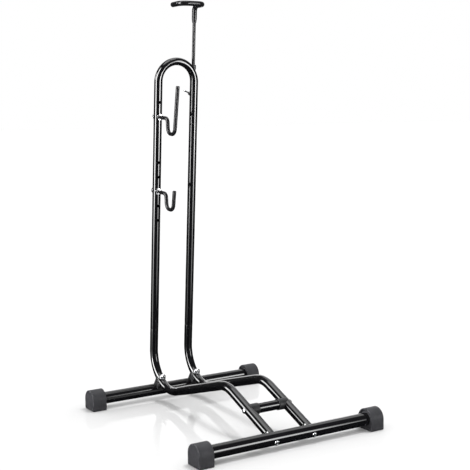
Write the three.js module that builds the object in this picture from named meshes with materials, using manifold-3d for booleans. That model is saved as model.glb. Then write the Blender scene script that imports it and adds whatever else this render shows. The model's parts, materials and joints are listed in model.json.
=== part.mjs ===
// A floor rack for one bicycle: two cross tubes on moulded feet carry a pair of bent side tubes,
// and an upside-down U tube stands on them. The wheel rolls in between the side tubes, over a hump.
// Two J hooks hold the frame, and a hook on a telescopic rod swings across the front at the top.
// Millimetres, +Z up, -Y is the side the wheel comes in from, -X is the left.
import * as THREE from 'three';
import { mergeVertices } from 'three/addons/utils/BufferGeometryUtils.js';
import Module from 'manifold-3d';

// ---- driving dimensions ----
const CLEARANCE = 0.3;              // between pieces that touch
const RUNNING_CLEARANCE = 0.35;     // between pieces that slide or turn

const TRACK = 555;                  // between the axes of the two cross tubes
const OVERALL_WIDTH = 527.5;        // over the feet
const CROSS_TUBE_DIAMETER = 32;
const CROSS_TUBE_WALL = 1.5;
const CROSS_TUBE_HEIGHT = 26.5;     // axis above the floor

const FOOT_LENGTH = 39;
const FOOT_WIDTH = 53.6;
const FOOT_END_WALL = 5;
const FOOT_LIP_DEPTH = 2.5;         // recess round the tube on the inner face
const FOOT_LIP_WALL = 4;
const FOOT_EDGE = 2;
const FOOT_GROOVES = 4;
const FOOT_GROOVE_WIDTH = 4;
const FOOT_GROOVE_DEPTH = 2;

const SIDE_SPACING = 109;           // between the planes of the side tubes
const SIDE_TUBE_DIAMETER = 24.5;
const SIDE_TUBE_WALL = 1.5;
const SIDE_SKEW = 0.6;              // degrees, their front ends stand to the right
const HEEL_HEIGHT = 2.3;            // of the rear bend's corner above the floor
const SIDE_BEND_RADIUS = 94;
const HUMP_BEND_RADIUS = 90;
const RAMP_ANGLE = 16;              // degrees, valley up to the hump
const DESCENT_ANGLE = 23.3;         // degrees, hump down to the front cross tube
const SIDE_BEND_STEP = 10.5;         // degrees of bend in each straight facet
const BEND_FLATTENING = 0.05;       // share of the diameter that a bend loses in its own plane
const NECK_DIAMETER = 22.4;         // drawn down from the seam to the end of the rear bend
const NECK_TAPER = 70;

const LEG_SETBACK = 32;             // of the leg's axis behind the rear cross tube's, at the floor
const LEAN = 4.8;                   // degrees forward
const SEAM_HEIGHT = 193.7;          // along the leg
const SPIGOT_LENGTH = 42;
const LOOP_TUBE_DIAMETER = 22.5;
const LOOP_TUBE_WALL = 1.5;
const LOOP_SPRING_HEIGHT = 870.5;   // along the leg, where the top arc begins
const LOOP_BEND_FLATTENING = 0.09;

const HOLE_PITCH = 39.2;
const LOWEST_HOLE = 500;            // along the leg
const LOWER_HOLES = 5;
const UPPER_HOLES = 2;
const UPPER_HOLES_START = 778;
const LOWER_HOOK_HOLE = 2;          // which of the lower holes, counted from 0
const UPPER_HOOK_HOLE = 0;

const HOOK_ROD_DIAMETER = 7.2;
const HOOK_SLEEVE_WALL = 1.1;
const HOOK_REACH = 54;              // from the leg's axis to the top of the down leg
const HOOK_DROP = 39;
const HOOK_THROAT = 35;             // between the hook's leg axes at the bottom
const HOOK_SHOULDER_RADIUS = 12;
const HOOK_BOTTOM_RADIUS = 16;
const HOOK_DOWN_SPLAY = 6.9;        // degrees forward, going down
const HOOK_TIP_SPLAY = 5.4;         // degrees forward, going up
const LONG_TIP_RISE = 87;           // of the tip above the stub
const SHORT_TIP_RISE = 14;
const HOOK_TIP_CAP = 2.5;

const HEIGHT_ROD_DIAMETER = 9;
const HEIGHT_ROD_INSET = 2.2;       // of the rod's axis from the leg's, inward and to the rear
const HEIGHT_ROD_TOP = 1071.5;      // along the leg, where the hook's level part begins
const HEIGHT_ROD_BOTTOM = 548;
const TOP_SLEEVE_DIAMETER = 13.6;
const TOP_SLEEVE_DROP = 44;         // below the level part
const TOP_HOOK_REACH = 54;
const TOP_HOOK_WIDTH = 70;
const TOP_HOOK_TIP = 50;
const TOP_SHOULDER_RADIUS = 15;
const TOP_CORNER_RADIUS = 21;
const TOP_TIP_CAP = 3;
const BUSH_WALL = 1.6;
const BUSH_COLLAR_WALL = 3;
const BUSH_RISE = 10;
const PLUG_LENGTH = 24;

const CLAMP_HEIGHT = 839;           // along the leg
const CLAMP_SCREW_DIAMETER = 6;
const CLAMP_BOSS_DIAMETER = 14;
const CLAMP_BOSS_HEIGHT = 7;
const WING_SPAN = 31;
const WING_THICKNESS = 2.6;
const WING_RISE = 11;                // of a lobe's middle above the hub's face
const WING_LOBE_RADIUS = 4.2;
const WING_REST_ANGLE = 30;         // degrees above level at rest

const STOP_BAR_SETBACK = 103;       // from the front cross tube's axis
const STOP_BAR_DIAMETER = 24;
const STOP_BAR_WALL = 1.5;
const STOP_SADDLE_LENGTH = 8;
const STOP_SADDLE_WALL = 1.6;

const REAR_SADDLE_WIDTH = 24;
const REAR_SADDLE_LENGTH = 26;
const BOLT_DIAMETER = 8;
const BOLT_HOLE_CLEARANCE = 0.4;
const BOLT_HEAD_DIAMETER = 14;
const BOLT_HEAD_HEIGHT = 3.6;
const WASHER_DIAMETER = 17;
const WASHER_THICKNESS = 1.4;
const NUT_ACROSS_FLATS = 13;
const NUT_HEIGHT = 5.6;
const CAP_NUT_DOME = 4.4;
const SOCKET_WIDTH = 5;
const SOCKET_DEPTH = 2.4;
const INSERT_LENGTH = 24;

// ---- values worked out from them ----
const crossRadius = CROSS_TUBE_DIAMETER / 2;
const sideRadius = SIDE_TUBE_DIAMETER / 2;
const loopRadius = LOOP_TUBE_DIAMETER / 2;
const loopBore = loopRadius - LOOP_TUBE_WALL;
const boltRadius = BOLT_DIAMETER / 2;
const boltHole = boltRadius + BOLT_HOLE_CLEARANCE;
const halfSpacing = SIDE_SPACING / 2;
const halfTrack = TRACK / 2;
const lean = THREE.MathUtils.degToRad(LEAN);
const sideSkew = THREE.MathUtils.degToRad(SIDE_SKEW);
const legFootY = halfTrack + LEG_SETBACK;
const hookSleeveRadius = HOOK_ROD_DIAMETER / 2 + CLEARANCE + HOOK_SLEEVE_WALL;

const wasm = await Module();
wasm.setup();

// ---- materials ----
function finish(color, roughness, metalness) {
  return { color, roughness, metalness };
}
const GLOSS_BLACK = finish(0x17171a, 0.28, 0.0);
const MATT_BLACK = finish(0x2b2b2e, 0.7, 0.0);
const FOOT_GREY = finish(0x47474b, 0.75, 0.0);
const ZINC = finish(0xc9cacc, 0.25, 1.0);

// ---- solids and booleans ----
function solidOf(geometry) {
  const plain = geometry.clone();
  plain.deleteAttribute('normal');
  plain.deleteAttribute('uv');
  const merged = mergeVertices(plain, 1e-4);
  const mesh = new wasm.Mesh({
    numProp: 3,
    vertProperties: new Float32Array(merged.attributes.position.array),
    triVerts: new Uint32Array(merged.index.array),
  });
  return new wasm.Manifold(mesh);
}

function geometryOf(solid) {
  const mesh = solid.getMesh();
  const geometry = new THREE.BufferGeometry();
  geometry.setAttribute('position', new THREE.BufferAttribute(new Float32Array(mesh.vertProperties), 3));
  geometry.setIndex(new THREE.BufferAttribute(new Uint32Array(mesh.triVerts), 1));
  geometry.computeVertexNormals();
  return geometry;
}

function cut(geometry, cutters) {
  let solid = solidOf(geometry);
  for (const cutter of cutters) {
    solid = solid.subtract(solidOf(cutter));
  }
  return geometryOf(solid);
}

function join(geometries) {
  let solid = solidOf(geometries[0]);
  for (const geometry of geometries.slice(1)) {
    solid = solid.add(solidOf(geometry));
  }
  return geometryOf(solid);
}

function place(geometry, origin, axis) {
  const turn = new THREE.Quaternion().setFromUnitVectors(new THREE.Vector3(0, 0, 1), axis.clone().normalize());
  return geometry.clone().applyQuaternion(turn).translate(origin.x, origin.y, origin.z);
}

// A turned solid: profile points are (radius, height) along +Z, from the axis back to the axis.
function turned(profile, sides) {
  const points = profile.map(([radius, height]) => new THREE.Vector2(radius, height));
  return new THREE.LatheGeometry(points, sides).rotateX(Math.PI / 2);
}

function cylinder(radius, bottom, top, sides) {
  return turned([[0, bottom], [radius, bottom], [radius, top], [0, top]], sides);
}

function tubePiece(outer, inner, bottom, top, sides) {
  return turned([[inner, bottom], [outer, bottom], [outer, top], [inner, top], [inner, bottom]], sides);
}

function hexPrism(acrossFlats, bottom, top) {
  return cylinder(acrossFlats / Math.sqrt(3), bottom, top, 6);
}

// ---- bent tubes ----
// A path of straight runs with a round bend at each inner corner. Each station holds its place,
// its distance along the path and how far into a bend it lies (0 on a straight run, 1 inside a bend).
function bentPath(corners, radii, stepDegrees, marks = []) {
  const stations = [];
  let travelled = 0;
  let last = corners[0].clone();
  const add = (point, bend) => {
    travelled += point.distanceTo(last);
    last = point.clone();
    stations.push({ point: point.clone(), s: travelled, bend });
  };
  add(corners[0], 0);
  for (let i = 1; i < corners.length - 1; i += 1) {
    const before = corners[i].clone().sub(corners[i - 1]).normalize();
    const after = corners[i + 1].clone().sub(corners[i]).normalize();
    const angle = before.angleTo(after);
    const tangent = radii[i - 1] * Math.tan(angle / 2);
    const start = corners[i].clone().addScaledVector(before, -tangent);
    const inward = after.clone().addScaledVector(before, -after.dot(before)).normalize();
    const steps = Math.max(2, Math.ceil(THREE.MathUtils.radToDeg(angle) / stepDegrees));
    for (let k = 0; k <= steps; k += 1) {
      const turn = (angle * k) / steps;
      const point = start.clone()
        .addScaledVector(before, radii[i - 1] * Math.sin(turn))
        .addScaledVector(inward, radii[i - 1] * (1 - Math.cos(turn)));
      add(point, k === 0 || k === steps ? 0.25 : 1);
    }
  }
  add(corners[corners.length - 1], 0);
  for (const mark of marks) {
    const i = stations.findIndex((station) => station.s > mark);
    const share = (mark - stations[i - 1].s) / (stations[i].s - stations[i - 1].s);
    const point = stations[i - 1].point.clone().lerp(stations[i].point, share);
    stations.splice(i, 0, { point, s: mark, bend: 0 });
  }
  return stations;
}

function tangentsOf(stations) {
  const runs = [];
  for (let i = 0; i + 1 < stations.length; i += 1) {
    runs.push(stations[i + 1].point.clone().sub(stations[i].point).normalize());
  }
  return stations.map((station, i) => {
    const before = runs[Math.max(0, i - 1)];
    const after = runs[Math.min(runs.length - 1, i)];
    return before.clone().add(after).normalize();
  });
}

// Rings of a section swept along the stations. `across` is square to the bends' own plane.
// Where a path bends in two planes, the section is carried along without twist instead.
function sweepRings(stations, radiusAt, sides, across, flattening) {
  const tangents = tangentsOf(stations);
  let side = across.clone();
  return stations.map((station, i) => {
    side = side.clone().addScaledVector(tangents[i], -side.dot(tangents[i])).normalize();
    const up = tangents[i].clone().cross(side);
    const radius = radiusAt(station.s);
    const ring = [];
    for (let k = 0; k < sides; k += 1) {
      const angle = (2 * Math.PI * k) / sides;
      const wide = radius * (1 + (flattening / 2) * station.bend) * Math.cos(angle);
      const flat = radius * (1 - flattening * station.bend) * Math.sin(angle);
      ring.push(station.point.clone().addScaledVector(side, wide).addScaledVector(up, flat));
    }
    return ring;
  });
}

function closeRings(outer, inner, sides) {
  const positions = [];
  const index = [];
  for (const ring of [...outer, ...inner]) {
    for (const point of ring) {
      positions.push(point.x, point.y, point.z);
    }
  }
  const innerStart = outer.length * sides;
  const wall = (start, count, flip) => {
    for (let i = 0; i + 1 < count; i += 1) {
      for (let k = 0; k < sides; k += 1) {
        const a = start + i * sides + k;
        const b = start + i * sides + ((k + 1) % sides);
        const c = a + sides;
        const d = b + sides;
        index.push(...(flip ? [a, c, b, b, c, d] : [a, b, c, b, d, c]));
      }
    }
  };
  wall(0, outer.length, false);
  if (inner.length > 0) {
    wall(innerStart, inner.length, true);
    const ends = [[0, innerStart, false]];
    ends.push([(outer.length - 1) * sides, innerStart + (inner.length - 1) * sides, true]);
    for (const [outside, inside, flip] of ends) {
      for (let k = 0; k < sides; k += 1) {
        const next = (k + 1) % sides;
        const quad = [outside + k, inside + k, outside + next, outside + next, inside + k, inside + next];
        index.push(...(flip ? [quad[0], quad[2], quad[1], quad[3], quad[5], quad[4]] : quad));
      }
    }
  } else {
    const lastRing = (outer.length - 1) * sides;
    for (let k = 1; k + 1 < sides; k += 1) {
      index.push(0, k + 1, k);
      index.push(lastRing, lastRing + k, lastRing + k + 1);
    }
  }
  const geometry = new THREE.BufferGeometry();
  geometry.setAttribute('position', new THREE.Float32BufferAttribute(positions, 3));
  geometry.setIndex(index);
  geometry.computeVertexNormals();
  return geometry;
}

function sweptTube(stations, outerAt, innerAt, sides, across, flattening = 0) {
  const outer = sweepRings(stations, outerAt, sides, across, flattening);
  const inner = innerAt ? sweepRings(stations, innerAt, sides, across, flattening) : [];
  return closeRings(outer, inner, sides);
}

// A value that changes in straight steps along a path, from [distance, value] pairs.
function stepped(pairs) {
  return (s) => {
    let value = pairs[0][1];
    for (let i = 0; i + 1 < pairs.length; i += 1) {
      const [from, low] = pairs[i];
      const [to, high] = pairs[i + 1];
      if (s >= from) {
        const share = to > from ? Math.min(1, (s - from) / (to - from)) : 1;
        value = low + (high - low) * share;
      }
    }
    return value;
  };
}

const HANDS = [['left', -1], ['right', 1]];
const ACROSS = new THREE.Vector3(1, 0, 0);
const yz = (y, z) => new THREE.Vector3(0, y, z);

// ---- the object ----
const rack = new THREE.Group();
const loopPlane = new THREE.Group();        // its Z runs up the legs, its -Y faces forward
loopPlane.position.set(0, legFootY, 0);
loopPlane.rotation.x = lean;
rack.add(loopPlane);

function addPiece(parent, name, geometry, look) {
  const piece = new THREE.Mesh(geometry, new THREE.MeshStandardMaterial(look));
  piece.name = name;
  parent.add(piece);
  return piece;
}

// The plane of each side tube turns a little about its rear joint.
const sidePlanes = HANDS.map(([hand, side]) => {
  const pivot = new THREE.Group();
  pivot.position.set(side * halfSpacing, halfTrack, 0);
  pivot.rotation.z = sideSkew;
  const plane = new THREE.Group();
  plane.position.y = -halfTrack;
  pivot.add(plane);
  rack.add(pivot);
  return [hand, plane];
});
const skewShift = (y) => (halfTrack - y) * Math.sin(sideSkew);

// The same piece in the plane of the left and of the right side tube.
function addPair(name, geometry, look) {
  for (const [hand, plane] of sidePlanes) {
    addPiece(plane, `${name}_${hand}`, geometry, look);
  }
}

// ---- side tube's centre line, in the Y-Z plane ----
const legDown = yz(Math.sin(lean), -Math.cos(lean));
const onLeg = (height) => yz(legFootY, 0).addScaledVector(legDown, -height);
const frontAxis = yz(-halfTrack, CROSS_TUBE_HEIGHT);
const rearAxis = yz(halfTrack, CROSS_TUBE_HEIGHT);
const descent = THREE.MathUtils.degToRad(DESCENT_ANGLE);
const ramp = THREE.MathUtils.degToRad(RAMP_ANGLE);
const rampDown = yz(Math.cos(ramp), -Math.sin(ramp));
const alongDescent = yz(Math.cos(descent), Math.sin(descent));

function meetingPoint(a, alongA, b, alongB) {
  const det = alongA.y * alongB.z - alongA.z * alongB.y;
  const t = ((b.y - a.y) * alongB.z - (b.z - a.z) * alongB.y) / det;
  return a.clone().addScaledVector(alongA, t);
}
const heel = onLeg(HEEL_HEIGHT);
const hump = meetingPoint(frontAxis, alongDescent, heel, rampDown);
const heelTurn = legDown.angleTo(rampDown.clone().negate());
const heelInward = legDown.clone().negate().sub(rampDown).normalize();
const bendCentre = heel.clone().addScaledVector(heelInward, SIDE_BEND_RADIUS / Math.cos(heelTurn / 2));
const rearBoltAxis = bendCentre.clone().sub(rearAxis).normalize();
const rearTubeDistance = bendCentre.distanceTo(rearAxis) - SIDE_BEND_RADIUS;

// The side tube's outside grown by `grow`: a spigot for the loop, a neck, then the full tube.
const spigotEnd = SPIGOT_LENGTH + CLEARANCE;
const neckStep = 0.4;
const bendTangent = SIDE_BEND_RADIUS * Math.tan(heelTurn / 2);
const neckEnd = SEAM_HEIGHT + SPIGOT_LENGTH - HEEL_HEIGHT - bendTangent + SIDE_BEND_RADIUS * heelTurn;
const sideStations = bentPath([onLeg(SEAM_HEIGHT + SPIGOT_LENGTH), heel, hump, frontAxis],
  [SIDE_BEND_RADIUS, HUMP_BEND_RADIUS], SIDE_BEND_STEP, [spigotEnd, spigotEnd + neckStep, neckEnd + NECK_TAPER]);
const sideOutside = stepped([[0, loopBore - CLEARANCE], [spigotEnd, loopBore - CLEARANCE],
  [spigotEnd + neckStep, NECK_DIAMETER / 2], [neckEnd, NECK_DIAMETER / 2],
  [neckEnd + NECK_TAPER, sideRadius], [9999, sideRadius]]);

function sideTubeOutline(grow, wall) {
  const outside = (s) => sideOutside(s) + grow;
  const inside = wall > 0 ? (s) => sideOutside(s) - wall : null;
  return sweptTube(sideStations, outside, inside, 16, ACROSS, BEND_FLATTENING);
}

function sideTubeGeometry() {
  const cope = cylinder(crossRadius + CLEARANCE, -sideRadius * 2, sideRadius * 2, 40);
  const rearHole = cylinder(boltHole, 0, rearTubeDistance + sideRadius * 2, 10);
  const stopHole = cylinder(boltHole, -sideRadius * 2, sideRadius * 2, 10);
  return cut(sideTubeOutline(0, SIDE_TUBE_WALL), [
    place(cope, frontAxis, ACROSS),
    place(rearHole, rearAxis, rearBoltAxis),
    place(stopHole, stopBarAxis, ACROSS),
  ]);
}

// ---- cross tubes and feet ----
const footOuterX = OVERALL_WIDTH / 2;
const crossHalfLength = footOuterX - FOOT_END_WALL - CLEARANCE;
const footHalfWidth = FOOT_WIDTH / 2;

function crossTube(name, axis, boltAxis, bothWalls) {
  const bore = crossRadius - CROSS_TUBE_WALL;
  const tube = place(tubePiece(crossRadius, bore, -crossHalfLength, crossHalfLength, 28), axis, ACROSS);
  const reach = crossRadius * 2;
  const holes = [-1, 1].map((side) => {
    const at = axis.clone().setX(side * halfSpacing + skewShift(axis.y));
    return place(cylinder(boltHole, bothWalls ? -reach : 0, reach, 10), at, boltAxis);
  });
  return addPiece(rack, name, cut(tube, holes), GLOSS_BLACK);
}
crossTube('rear_cross_tube', rearAxis, rearBoltAxis, true);
crossTube('front_cross_tube', frontAxis, alongDescent, true);

// The foot's outline seen from its end: a flat base, straight sides and a round top.
function footOutline(inset) {
  const half = footHalfWidth - inset;
  const outline = new THREE.Shape();
  outline.moveTo(-half, inset);
  outline.lineTo(half, inset);
  outline.lineTo(half, CROSS_TUBE_HEIGHT);
  outline.absarc(0, CROSS_TUBE_HEIGHT, half, 0, Math.PI, false);
  outline.lineTo(-half, inset);
  return outline;
}

function extruded(shape, depth, bevel, curveSegments) {
  const options = { depth: depth - 2 * bevel, bevelEnabled: bevel > 0, curveSegments };
  Object.assign(options, { bevelThickness: bevel, bevelSize: bevel, bevelOffset: -bevel, bevelSegments: 1 });
  return new THREE.ExtrudeGeometry(shape, options).translate(0, 0, bevel);
}

// Built with its inner face at z = 0 and its outer end at z = FOOT_LENGTH, then laid along X.
function footGeometry() {
  const body = extruded(footOutline(0), FOOT_LENGTH, FOOT_EDGE, 9);
  const toAxis = (geometry) => geometry.translate(0, CROSS_TUBE_HEIGHT, 0);
  const socketDepth = FOOT_LENGTH - FOOT_END_WALL;
  const socket = toAxis(cylinder(crossRadius + CLEARANCE, -1, socketDepth, 32));
  const lip = extruded(footOutline(FOOT_LIP_WALL), FOOT_LIP_DEPTH + 1, 0, 8).translate(0, 0, -1);
  const grooves = [];
  for (let i = 0; i < FOOT_GROOVES; i += 1) {
    const at = ((i + 0.5) / FOOT_GROOVES - 0.5) * (FOOT_WIDTH - 2 * FOOT_EDGE);
    const groove = new THREE.BoxGeometry(FOOT_GROOVE_WIDTH, 2 * FOOT_GROOVE_DEPTH, FOOT_LENGTH * 2);
    grooves.push(groove.translate(at, 0, FOOT_LENGTH));
  }
  return cut(body, [socket, lip, ...grooves]);
}
const foot = footGeometry();
for (const [end, y] of [['rear', halfTrack], ['front', -halfTrack]]) {
  for (const [hand, side] of HANDS) {
    const piece = addPiece(rack, `foot_${end}_${hand}`, foot, FOOT_GREY);
    const outward = ACROSS.clone().multiplyScalar(side);
    const sideways = new THREE.Vector3(0, side, 0);
    piece.setRotationFromMatrix(new THREE.Matrix4().makeBasis(sideways, new THREE.Vector3(0, 0, 1), outward));
    piece.position.set(side * (footOuterX - FOOT_LENGTH), y, 0);
  }
}

// ---- side tubes and the wheel stop bar between them ----
const stopBarAxis = frontAxis.clone().add(yz(STOP_BAR_SETBACK, STOP_BAR_SETBACK * Math.tan(descent)));
addPair('side_tube', sideTubeGeometry(), GLOSS_BLACK);

// A saddle's end is cut to the side tube that it sits on; the bar butts against the saddle.
const saddleSeat = sideRadius + CLEARANCE;
const stopBarHalf = halfSpacing - sideRadius - STOP_SADDLE_LENGTH;
const stopBarBore = STOP_BAR_DIAMETER / 2 - STOP_BAR_WALL;
const stopInsertRadius = stopBarBore - CLEARANCE;
const saddleLap = 6;
const stopBarHolder = new THREE.Group();
stopBarHolder.position.x = skewShift(stopBarAxis.y);
rack.add(stopBarHolder);
addPiece(stopBarHolder, 'wheel_stop_bar', place(
  tubePiece(STOP_BAR_DIAMETER / 2, stopBarBore, -stopBarHalf, stopBarHalf, 28), stopBarAxis, ACROSS,
), GLOSS_BLACK);

function stopSaddleGeometry() {
  const outer = STOP_BAR_DIAMETER / 2 + CLEARANCE + STOP_SADDLE_WALL;
  const barEnd = stopBarHalf + CLEARANCE;
  const blank = cylinder(outer, stopBarHalf - saddleLap, halfSpacing, 28);
  const pocket = cylinder(STOP_BAR_DIAMETER / 2 + CLEARANCE, stopBarHalf - 2 * saddleLap, barEnd, 28);
  const bore = cylinder(boltHole, 0, halfSpacing * 2, 14);
  const seat = cylinder(saddleSeat, -SIDE_SPACING, SIDE_SPACING, 36);
  const shaped = cut(place(blank, stopBarAxis, ACROSS), [
    place(pocket, stopBarAxis, ACROSS),
    place(bore, stopBarAxis, ACROSS),
    place(seat, stopBarAxis.clone().setX(halfSpacing), alongDescent),
  ]);
  return shaped;
}
addMirroredPair('stop_saddle', stopSaddleGeometry(), MATT_BLACK);

function mirrored(geometry) {
  const copy = geometryOf(solidOf(geometry)).scale(-1, 1, 1);
  const index = copy.index.array;
  for (let i = 0; i < index.length; i += 3) {
    [index[i], index[i + 1]] = [index[i + 1], index[i]];
  }
  copy.computeVertexNormals();
  return copy;
}

// ---- bolts, nuts and washers; each is built with its head or seat at z = 0 ----
// A dome-headed bolt: the head lies below z = 0, the shank runs up to `length`.
function domeBolt(length) {
  const head = BOLT_HEAD_DIAMETER / 2;
  const profile = [[0, -BOLT_HEAD_HEIGHT], [head * 0.45, -BOLT_HEAD_HEIGHT * 0.94]];
  profile.push([head * 0.8, -BOLT_HEAD_HEIGHT * 0.62], [head, -BOLT_HEAD_HEIGHT * 0.12], [head * 0.98, 0]);
  profile.push([boltRadius, 0], [boltRadius, length - 1], [boltRadius - 1, length], [0, length]);
  const socket = cylinder(SOCKET_WIDTH / Math.sqrt(3), -BOLT_HEAD_HEIGHT - 1, SOCKET_DEPTH - BOLT_HEAD_HEIGHT, 6);
  return cut(turned(profile, 12), [socket]);
}

function washer() {
  return tubePiece(WASHER_DIAMETER / 2, boltHole, 0, WASHER_THICKNESS, 12);
}

function capNut(bore) {
  const top = NUT_HEIGHT + CAP_NUT_DOME;
  const dome = NUT_ACROSS_FLATS / 2 - 0.6;
  const profile = [[0, 0], [dome, 0], [dome, NUT_HEIGHT], [dome * 0.88, NUT_HEIGHT + CAP_NUT_DOME * 0.5]];
  profile.push([dome * 0.55, NUT_HEIGHT + CAP_NUT_DOME * 0.87], [0, top]);
  const body = join([hexPrism(NUT_ACROSS_FLATS, 0, NUT_HEIGHT), turned(profile, 12)]);
  return cut(body, [cylinder(bore, -1, NUT_HEIGHT + 1, 10)]);
}

function plainNut(bore) {
  return cut(hexPrism(NUT_ACROSS_FLATS, 0, NUT_HEIGHT), [cylinder(bore, -1, NUT_HEIGHT + 1, 10)]);
}

// A piece of the stop bar's joints, built for the right hand, and its mirror image for the left.
function addMirroredPair(name, geometry, look) {
  addPiece(stopBarHolder, `${name}_right`, geometry, look);
  addPiece(stopBarHolder, `${name}_left`, mirrored(geometry), look);
}

// Rear joint: bolt head under the cross tube, then tube, saddle, side tube, washer and cap nut.
// The washer's rim rests on the hollow side of the bend, which curves up towards it.
const bendHollow = SIDE_BEND_RADIUS - (NECK_DIAMETER / 2) * (1 - BEND_FLATTENING);
const facetRise = bendHollow * (1 - Math.cos(THREE.MathUtils.degToRad(SIDE_BEND_STEP / 2)));
const rimRise = bendHollow - Math.sqrt(bendHollow ** 2 - (WASHER_DIAMETER / 2) ** 2) + facetRise;
const rearWasherAt = rearTubeDistance + SIDE_BEND_RADIUS - bendHollow + rimRise + CLEARANCE;
const rearNutAt = rearWasherAt + WASHER_THICKNESS + CLEARANCE;
const rearBoltLength = crossRadius + CLEARANCE + rearNutAt + NUT_HEIGHT - CLEARANCE;
const rearHeadAt = rearAxis.clone().addScaledVector(rearBoltAxis, -crossRadius - CLEARANCE);
const rearJoint = (distance) => rearAxis.clone().addScaledVector(rearBoltAxis, distance);
addPair('rear_bolt', place(domeBolt(rearBoltLength), rearHeadAt, rearBoltAxis), ZINC);
addPair('rear_washer', place(washer(), rearJoint(rearWasherAt), rearBoltAxis), ZINC);
addPair('rear_cap_nut', place(capNut(boltRadius + CLEARANCE), rearJoint(rearNutAt), rearBoltAxis), ZINC);

// The saddle fills the space between the round cross tube and the bent side tube.
function rearSaddleGeometry() {
  const middle = rearTubeDistance - sideRadius / 2;
  const block = new THREE.BoxGeometry(REAR_SADDLE_WIDTH, REAR_SADDLE_LENGTH, middle);
  const raised = block.translate(0, 0, middle / 2 + crossRadius / 2);
  const blank = place(raised, rearAxis, rearBoltAxis);
  const bore = cylinder(boltHole, 0, rearTubeDistance * 2, 14);
  return cut(blank, [
    sideTubeOutline(CLEARANCE, 0),
    place(cylinder(crossRadius + CLEARANCE, -SIDE_SPACING, SIDE_SPACING, 40), rearAxis, ACROSS),
    place(bore, rearAxis, rearBoltAxis),
  ]);
}
addPair('rear_saddle', rearSaddleGeometry(), MATT_BLACK);

// Front joint: the bolt runs through the cross tube into a plug inside the side tube's end.
const frontHeadAt = frontAxis.clone().addScaledVector(alongDescent, -crossRadius - CLEARANCE);
const plugStart = crossRadius + CLEARANCE;
const frontBoltLength = 2 * crossRadius + 2 * CLEARANCE + INSERT_LENGTH - 2;
addPair('front_bolt', place(domeBolt(frontBoltLength), frontHeadAt, alongDescent), ZINC);

function frontPlugGeometry() {
  const radius = sideRadius - SIDE_TUBE_WALL - CLEARANCE;
  const blank = tubePiece(radius, boltRadius + CLEARANCE, 0, plugStart + INSERT_LENGTH, 20);
  return cut(place(blank, frontAxis, alongDescent), [
    place(cylinder(plugStart, -SIDE_SPACING, SIDE_SPACING, 40), frontAxis, ACROSS),
  ]);
}
addPair('front_threaded_plug', frontPlugGeometry(), ZINC);

// Stop bar joint: a bolt from outside each side tube into a threaded plug in the bar's end.
const stopHeadX = halfSpacing + sideRadius + CLEARANCE;
const stopBoltLength = stopHeadX - stopBarHalf + INSERT_LENGTH - 2;
const stopBolt = place(domeBolt(stopBoltLength), stopBarAxis.clone().setX(stopHeadX), ACROSS.clone().negate());
addMirroredPair('stop_bar_bolt', stopBolt, ZINC);
const stopPlug = tubePiece(stopInsertRadius, boltRadius + CLEARANCE, stopBarHalf - INSERT_LENGTH, stopBarHalf, 20);
addMirroredPair('stop_bar_threaded_plug', place(stopPlug, stopBarAxis, ACROSS), ZINC);

// ---- the upside-down U loop, in its own leaning plane ----
const seamEnd = SEAM_HEIGHT + CLEARANCE;
const leftLegX = -halfSpacing;
const rightLegX = halfSpacing;
const holeHeights = [];
for (let i = 0; i < LOWER_HOLES; i += 1) {
  holeHeights.push(LOWEST_HOLE + i * HOLE_PITCH);
}
for (let i = 0; i < UPPER_HOLES; i += 1) {
  holeHeights.push(UPPER_HOLES_START + i * HOLE_PITCH);
}
const lowerHookHeight = holeHeights[LOWER_HOOK_HOLE];
const upperHookHeight = holeHeights[LOWER_HOLES + UPPER_HOOK_HOLE];
const hookHole = HOOK_ROD_DIAMETER / 2 + RUNNING_CLEARANCE;
const heightRodRadius = HEIGHT_ROD_DIAMETER / 2;
const bushBore = heightRodRadius + RUNNING_CLEARANCE;
const bushRadius = bushBore + BUSH_WALL;
const shoulderHole = bushRadius + CLEARANCE;
const backward = new THREE.Vector3(0, 1, 0);
const forward = new THREE.Vector3(0, -1, 0);
const upward = new THREE.Vector3(0, 0, 1);
const BEHIND_LOOP = new THREE.Vector3(0, 1, 0);

function loopStations(bottom) {
  const crown = LOOP_SPRING_HEIGHT + halfSpacing;
  const corners = [[leftLegX, bottom], [leftLegX, crown], [rightLegX, crown], [rightLegX, bottom]];
  const points = corners.map(([x, z]) => new THREE.Vector3(x, 0, z));
  return bentPath(points, [halfSpacing - 0.01, halfSpacing - 0.01], 11.25);
}

const loopTube = sweptTube(loopStations(seamEnd), () => loopRadius, () => loopBore, 16, BEHIND_LOOP, LOOP_BEND_FLATTENING);
const crossHole = (x, z, radius, from, to) => place(cylinder(radius, from, to, 8), new THREE.Vector3(x, 0, z), backward);
const loopHoles = holeHeights.map((z) => crossHole(leftLegX, z, hookHole, -2 * loopRadius, 2 * loopRadius));
loopHoles.push(crossHole(rightLegX, CLAMP_HEIGHT, CLAMP_SCREW_DIAMETER / 2 + RUNNING_CLEARANCE, 0, 2 * loopRadius));
const rodX = rightLegX - HEIGHT_ROD_INSET;
const rodY = HEIGHT_ROD_INSET;
const shoulderCut = cylinder(shoulderHole, LOOP_SPRING_HEIGHT, LOOP_SPRING_HEIGHT + 2 * halfSpacing, 20);
loopHoles.push(shoulderCut.translate(rodX, rodY, 0));
addPiece(loopPlane, 'upper_loop', cut(loopTube, loopHoles), GLOSS_BLACK);

// ---- J hooks on the left leg ----
// The path starts behind the leg at the threaded end and ends at the tip; y is forward-negative.
const hookNutGap = loopRadius + CLEARANCE;
const hookThreadEnd = hookNutGap + WASHER_THICKNESS + CLEARANCE + NUT_HEIGHT - CLEARANCE;
const hookSleeveStart = hookNutGap + WASHER_THICKNESS + 2 * CLEARANCE + NUT_HEIGHT;
const tipSplay = THREE.MathUtils.degToRad(HOOK_TIP_SPLAY);
const downSplay = THREE.MathUtils.degToRad(HOOK_DOWN_SPLAY);

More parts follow.
